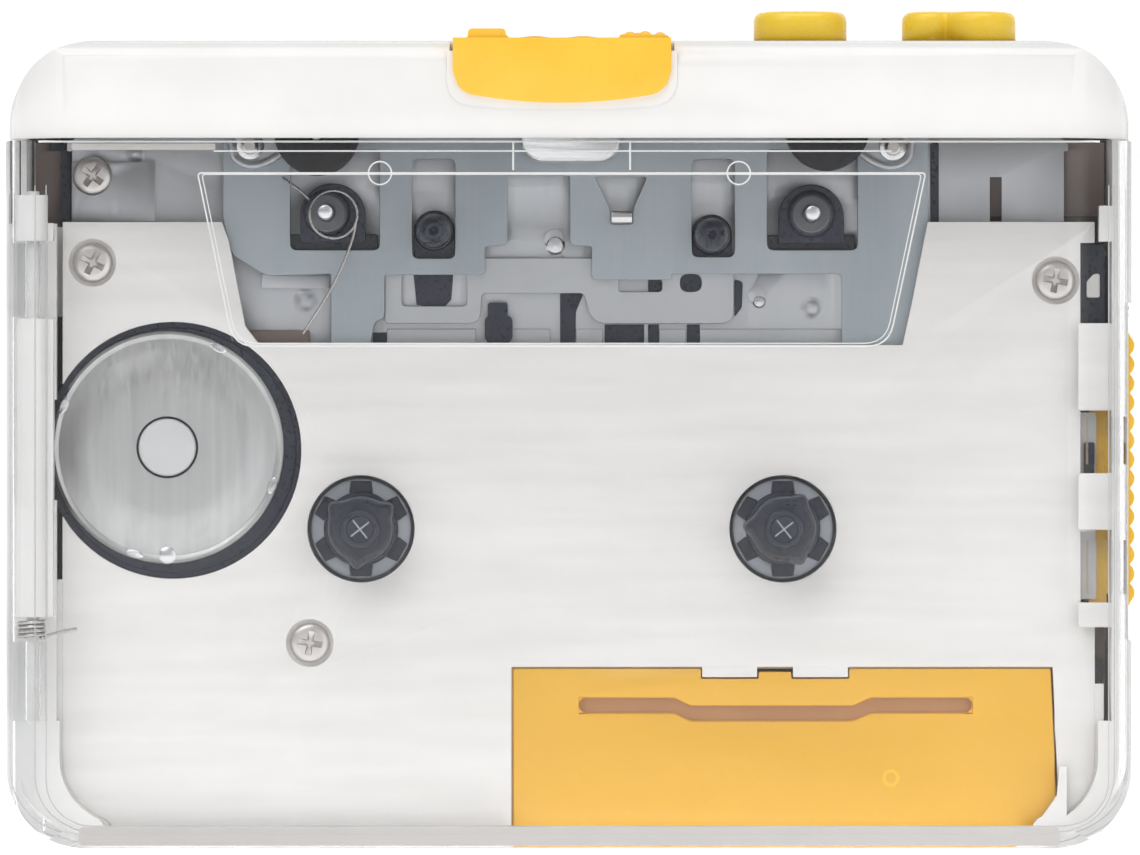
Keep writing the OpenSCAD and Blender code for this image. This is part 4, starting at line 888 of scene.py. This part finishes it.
def add_grip_groove():
    """The floor of the battery cover's finger groove, painted brown as the yellow in shade, with rounded ends."""
    low, high = (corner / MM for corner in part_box("battery_cover"))
    ends = [(a, high.z - b, 0.75) for a, b in ((1.05, 2.95), (10.6, 2.95), (12.2, 3.75), (28.6, 3.75), (30.4, 2.95),
                                               (40.55, 2.95), (40.55, 4.45), (30.4, 4.45), (28.6, 5.25),
                                               (12.2, 5.25), (10.6, 4.45), (1.05, 4.45))]
    outline = rounded(ends, 0.75)
    # The groove floor is coloured as painted shade: the yellow as it looks in shadow.
    piece("grip_groove_floor", plate(outline, (low.y + 0.72, low.y + 0.85)), "battery_cover", "yellow",
          look=painted_groove_shade)
    fillers = []
    reach = 0.77
    for end, side in ((low.x + 6.58, 1), (low.x + 46.22, -1)):
        for edge, rise in ((high.z - 2.88, -1), (high.z - 4.42, 1)):
            turn = [math.radians(a) for a in range(0, 91, 9)]
            arc = [(end + side * reach * (1 - math.cos(t)), edge + rise * reach * (1 - math.sin(t))) for t in turn]
            fillers.append(plate([(end, edge)] + arc, (low.y + 0.01, low.y + 0.7)))
    piece("grip_groove_ends", joined(*fillers), "battery_cover", "yellow", look=cover_yellow)
    mark = lathe((low.x + 38.0, 0, low.z + 6.7), "Y", [(0.55, low.y - 0.03), (0.72, low.y - 0.05), (0.88, low.y - 0.03),
                                                       (0.88, low.y + 0.1), (0.55, low.y + 0.1)], 48, closed=True)
    piece("ejector_ring", mark, "battery_cover", "yellow")


def add_cells():
    """Two dry cells in line, each with a plain wrap, a dark band and bare metal ends."""
    for i, (low, high) in enumerate(solids("battery_cells")):
        mid = (low + high) / 2
        radius = (high.z - low.z) / 2
        place = (0, mid.y, mid.z)
        wrap = lathe(place, "X", [(radius - 0.35, low.x + 0.25), (radius, low.x + 0.6), (radius, high.x - 2.2),
                                  (radius - 0.35, high.x - 1.8)], 96)
        piece("cell_wrap_%d" % i, wrap, "case", "cell_wrap", replaces=("battery_cells",) if i == 0 else ())
        band = lathe(place, "X", [(radius - 0.1, high.x - 16), (radius + 0.02, high.x - 16), (radius + 0.02, high.x - 3),
                                  (radius - 0.1, high.x - 3)], 96, closed=True)
        piece("cell_band_%d" % i, band, "case", "cell_wrap", look=finish["black_plastic"])
        ends = joined(
            lathe(place, "X", [(0.2, low.x), (radius - 1.4, low.x), (radius - 0.9, low.x + 0.15),
                               (radius - 0.6, low.x + 0.3), (0.2, low.x + 0.5)], 64),
            lathe(place, "X", [(radius - 0.6, high.x - 2), (radius - 1, high.x - 1.5), (3.0, high.x - 1.35),
                               (2.75, high.x - 1.1), (2.65, high.x - 0.15), (2.4, high.x), (0.2, high.x)], 64))
        piece("cell_ends_%d" % i, ends, "case", "cell_wrap", look=finish["bright_steel"])


def add_latch_details():
    """White guards in front of the slider, a white backing, dark blocks in place of a dark coil, a small nub and a
    leaf, seen at the right edge of the bay.
    """
    low, high = (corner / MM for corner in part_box("latch_slider"))
    x = (low.x - 1.2, low.x + 2.7)
    guards = [plate(rounded(box_outline(x, z), 0.3), (low.y - 0.5, low.y - 0.15))
              for z in ((low.z + 21.2, high.z + 1), (low.z + 9.2, low.z + 14.9), (low.z - 0.6, low.z + 1.9))]
    piece("latch_guards", joined(*guards), "case", "bay_white", bevel=0.1)
    leaf = plate(rounded(box_outline((low.x + 0.2, low.x + 1.9), (low.z - 9.8, low.z - 0.6)), 0.2), (-0.95, -1.25))
    piece("latch_leaf", leaf, "case", "plate_steel", look=finish["board"], bevel=0.05)
    left = low.x - 1.5
    backing = plate(box_outline((left, low.x + 0.8), (low.z + 2.2, low.z + 21)), (-2.88, -2.76))
    piece("latch_backing", backing, "case", "bay_white")
    block_z = low.z + 30
    dark = plate(rounded(box_outline((left, low.x + 1.8), (block_z, block_z + 8)), 0.3), (-2.88, -1.6))
    stub = plate(rounded(box_outline((low.x - 0.5, low.x + 0.6), (low.z + 13.6, low.z + 18)), 0.2), (-3.4, -2.84))
    piece("latch_blocks", joined(dark, stub), "case", "black_plastic", bevel=0.1)
    nub = [(low.x - 0.2, block_z + 2.6), (low.x + 1.2, block_z + 2.6), (low.x + 1.2, block_z + 5),
           (low.x + 0.6, block_z + 5), (low.x - 0.2, block_z + 4.2)]
    piece("latch_nub", plate(rounded(nub, 0.25), (-3.2, -2.84)), "case", "bay_white", bevel=0.08)


# ---------------------------------------------------------------- keys and controls


def key_outline(middle_y, waist, lobes, inset):
    """The outline of a key from above: round lobes joined along X."""
    count = 72
    left = lobes[0][0] - lobes[0][1] + inset
    right = lobes[-1][0] + lobes[-1][1] - inset
    front = []
    back = []
    for i in range(count + 1):
        x = (left + right) / 2 - (right - left) / 2 * math.cos(math.pi * i / count)
        reach = 0.02
        for centre, radius in lobes:
            room = (radius - inset) ** 2 - (x - centre) ** 2
            reach = max(reach, math.sqrt(max(room, 0)))
        if lobes[0][0] < x < lobes[-1][0]:
            reach = max(reach, waist - inset)
        front.append((x, middle_y - reach))
        back.append((x, middle_y + reach))
    return front + list(reversed(back))


def add_key(node, lobes, waist):
    mid, half = middle(node)
    low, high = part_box(node)
    top = high.z / MM
    foot = low.z / MM
    y = mid.y
    levels = [(top - 5, 0.0), (top - 4.95, 0.0), (top - 1.1, 0.0), (top - 1.0, 0.01), (top - 0.62, 0.08), (top - 0.34, 0.26), (top - 0.16, 0.55),
              (top - 0.08, 0.95), (top - 0.02, 1.6), (top, 2.3)]
    cap = loft([[Vector((x, y, z)) for x, y in key_outline(mid.y, waist, lobes, inset)] for z, inset in levels])
    skirt = [(top - 6.3, -0.5), (top - 6.1, -0.7), (top - 5.3, -0.7), (top - 5.1, -0.6), (top - 4.95, 0.0)]
    flange = loft([[Vector((x, y, z)) for x, y in key_outline(mid.y, waist, lobes, inset)] for z, inset in skirt])
    stem = block((mid.x - 1.6, mid.x + 1.6), (0.7, 2.3), (foot, top - 6.2))
    # The keys take a brighter copy of the yellow plastic: painted light.
    piece(node + "_cap", joined(cap, flange, stem), node, "yellow", look=painted_lit_key_yellow, replaces=(node,))


def add_keys():
    flange = 0.8
    mid, half = middle("stop_key")
    shift = 0.95
    radius = half.x - flange - shift
    add_key("stop_key", ((mid.x - shift, radius), (mid.x + shift, radius)), radius)
    mid, half = middle("play_key")
    small = 2.6
    large = 3.8
    left = mid.x - half.x + flange + small
    right = mid.x + half.x - flange - large
    add_key("play_key", ((left, small), (right, large)), 2.0)


def add_slider():
    low, high = (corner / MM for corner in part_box("latch_slider"))
    skin = high.x - 1.2
    face = high.x - 0.5
    floor = low.z + 1.6
    ridges = 14
    edge = [(skin, floor), (skin, high.z), (face, high.z)]
    steps = ridges * 8
    for i in range(steps, -1, -1):
        wave = abs(math.sin(math.pi * ridges * i / steps))
        edge.append((face + 0.48 * wave ** 0.8, floor + 0.3 + (high.z - floor - 0.6) * i / steps))
    edge.append((face, floor))
    grip = loft([[Vector((x, y, z)) for x, z in edge] for y in (low.y, high.y)])
    neck = block((skin - 1.4, skin + 0.05), (-3, -1.4), (low.z + 7.4, low.z + 22.4))
    backing = block((low.x, skin - 1.35), (-2.7, -1.4), (low.z, low.z + 23.4))
    fingers = [block((low.x + 1, skin - 1.35), (-5.2, -2.65), z)
               for z in ((low.z + 13, low.z + 14.4), (low.z, low.z + 1.4))]
    piece("latch_slider_grip", joined(grip, neck, backing, *fingers), "latch_slider", "yellow",
          replaces=("latch_slider",), bevel=0.12)


def add_volume_wheel():
    mid, half = middle("volume_wheel")
    rim = half.x
    teeth = 68

    def knurl(inset):
        return lambda turn: rim - inset - 0.16 * (1 - abs(math.cos(turn * teeth / 2)))

    levels = [(knurl(0.35), 1.2), (knurl(0.02), 1.5), (knurl(0.02), 3.4), (knurl(0.35), 3.7)]
    wheel = loft([ring((mid.x, 0, mid.z), "Y", radius, along, teeth * 6) for radius, along in levels])
    shaft = lathe((mid.x, 0, mid.z), "Y", [(1.5, 3.5), (1.5, 6.8), (1.3, 7)], 32)
    piece("volume_wheel_knurled", joined(wheel, shaft), "volume_wheel", "black_plastic",
          replaces=("volume_wheel",))


def rocker_edge(along, half, grow, drop):
    """One point of the centre key's curved lower edge."""
    corner = 2.0
    smile = 49.6
    into_corner = max(0, abs(along) - half + corner)
    rise = along ** 2 / (2 * smile) + corner - math.sqrt(max(0, corner ** 2 - into_corner ** 2))
    return along * (half + grow) / half, rise - grow - abs(along) * drop


def add_rocker_details():
    """The flat pad, the dotted pad and the low waves on top of the centre key, and its pale dust skirt."""
    low, high = (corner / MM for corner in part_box("seek_rocker"))
    top = high.z
    depth = (-16.3, -10)
    shapes = [plate(rounded([(low.x + 1.5, top - 1), (low.x + 1.5, top + 0.12, 0.5), (low.x + 5.3, top + 0.12, 0.5),
                             (low.x + 5.3, top - 1)], 0.05), depth),
              plate(rounded([(low.x + 16.5, top - 1), (low.x + 16.7, top - 0.42, 0.5), (low.x + 21.5, top - 0.5, 0.5),
                             (low.x + 21.7, top - 1)], 0.05), depth)]
    for along, drop in ((17.7, 0.5), (19.2, 0.45), (20.7, 0.55)):
        for y in (-15.6, -13.2, -10.9):
            base = top - drop
            shapes.append(lathe((low.x + along, y, 0), "Z", [
                (0.62, base - 0.4), (0.6, base), (0.45, base + 0.2), (0.22, base + 0.3), (0.03, base + 0.33)], 20))
    for along in (8.2, 13):
        x = low.x + along
        wide = 2.4
        arc = [(x - wide + wide * i / 6, top - 0.95 + 0.3 * math.sin(math.pi * i / 12)) for i in range(13)]
        arc += [(x + wide, top - 1.3), (x - wide, top - 1.3)]
        shapes.append(plate(arc, depth))
    piece("rocker_dots", joined(*shapes), "seek_rocker", "yellow", bevel=0.12)
    half = 10.9
    centre = low.x + half
    steps = [half * i / 40 for i in range(-40, 41)]
    bands = []
    for grow, drop in ((0.6, 0.0524), (-0.4, 0.0)):
        edge = [rocker_edge(along, half, grow, drop) for along in steps]
        edge = [(edge[0][0], 5.2)] + edge + [(edge[-1][0], 5.2)]
        bands.append([(centre + x, low.z + z) for x, z in edge])
    skirt = plate(bands[0] + list(reversed(bands[1])), (-16.32, -16.22))
    piece("rocker_skirt", skirt, "seek_rocker", slot_of["top_cover"])


pale_nylon = material("pale_nylon", (0.62, 0.63, 0.64), (0.7, 0.71, 0.72), (0.3, 0.45), bump=0.03)
dark_glaze = material("dark_glaze", (0.09, 0.095, 0.11), (0.15, 0.155, 0.17), (0.12, 0.25), bump=0.05, coat=0.6)
# Near-white painted highlight for the clear door's edge lines.
painted_edge_highlight = material("painted_edge_highlight", (0.93, 0.93, 0.92), (0.99, 0.99, 0.98), (0.3, 0.4), bump=0.02)
# Mid-grey painted shade for the lines along the clear door's wall rims.
painted_rim_shade = material("painted_rim_shade", (0.5, 0.49, 0.49), (0.66, 0.65, 0.65), (0.25, 0.4), bump=0.02)
# Brown painted shade: the cover's yellow as it looks in shadow, for the gap round the cover.
painted_cover_gap_shade = material("painted_cover_gap_shade", (0.42, 0.25, 0.08), (0.5, 0.31, 0.11), (0.5, 0.65), bump=0.02)
# Brown painted shade for the floor of the finger groove.
painted_groove_shade = material("painted_groove_shade", (0.47, 0.24, 0.1), (0.53, 0.28, 0.125), (0.5, 0.65), bump=0.05)
# Pale grey painted shade for the clear door seen edge on; the door itself is clear.
painted_glass_edge_shade = material("painted_glass_edge_shade", (0.62, 0.59, 0.565), (0.74, 0.71, 0.69), (0.3, 0.45),
                        stretch=LEVEL_GRAIN, bump=0.05)
# A brighter copy of the yellow plastic, painted light that makes up for light the keys' faces lack.
painted_lit_key_yellow = material("painted_lit_key_yellow", (1.0, 0.65, 0.04), (1.0, 0.7, 0.055), (0.24, 0.34), bump=0.02)
cover_yellow = material("cover_yellow", (0.83, 0.45, 0.03), (0.88, 0.49, 0.045), (0.3, 0.42), stretch=LEVEL_GRAIN,
                        bump=0.05)
nodes["battery_cover"].data.materials[0] = cover_yellow
add_door_edges()
add_door_bands()
add_motor()
add_spindle("left", (37, 141, -96))
add_spindle("right", (58, 176, -62))
add_capstans()
add_capstan_bushes()
add_pinch_spring()
add_guide_posts()
add_head_plate()
add_lever()
add_plate_slots()
add_plate_details()
add_arm_details()
add_screws("front_screws", -1)
add_screws("case_screws", 1)
add_springs()
add_cells()
add_latch_details()
add_bay_backing()
add_grip_groove()
add_keys()
add_slider()
add_volume_wheel()
add_rocker_details()


# ---------------------------------------------------------------- stage


def add_stage():
    profile = [(-5, 0), (3.2, 0), (3.6, 0.04), (3.9, 0.16), (4.1, 0.4), (4.2, 0.8), (4.2, 3.5)]
    verts = [(x, y, z) for x in (-5, 5) for y, z in profile]
    count = len(profile)
    faces = [(i, i + 1, count + i + 1, count + i) for i in range(count - 1)]
    mesh = bpy.data.meshes.new("floor")
    mesh.from_pydata(verts, [], faces)
    floor = bpy.data.objects.new("floor", mesh)
    scene.collection.objects.link(floor)
    for face in mesh.polygons:
        face.use_smooth = True
    paper = material("paper", (0.93, 0.93, 0.93), (0.96, 0.96, 0.96), (0.7, 0.9))
    shader = paper.node_tree.nodes["Principled BSDF"]
    shader.inputs["Emission Color"].default_value = (1, 1, 1, 1)
    shader.inputs["Emission Strength"].default_value = 0.48
    mesh.materials.append(paper)


add_world()
add_camera()
add_stage()
add_lamp("key", (-0.5, -0.9, 0.9), (0, 0, 0.04), 0.8, 0.6, 2.6, (1, 1, 1))
add_lamp("fill", (0.7, -0.9, 0.3), (0, 0, 0.04), 0.6, 0.6, 0.8, (1, 1, 1))
add_lamp("top", (0.05, -0.2, 1.0), (0, 0, 0.04), 0.8, 0.8, 4.2, (1, 1, 1))
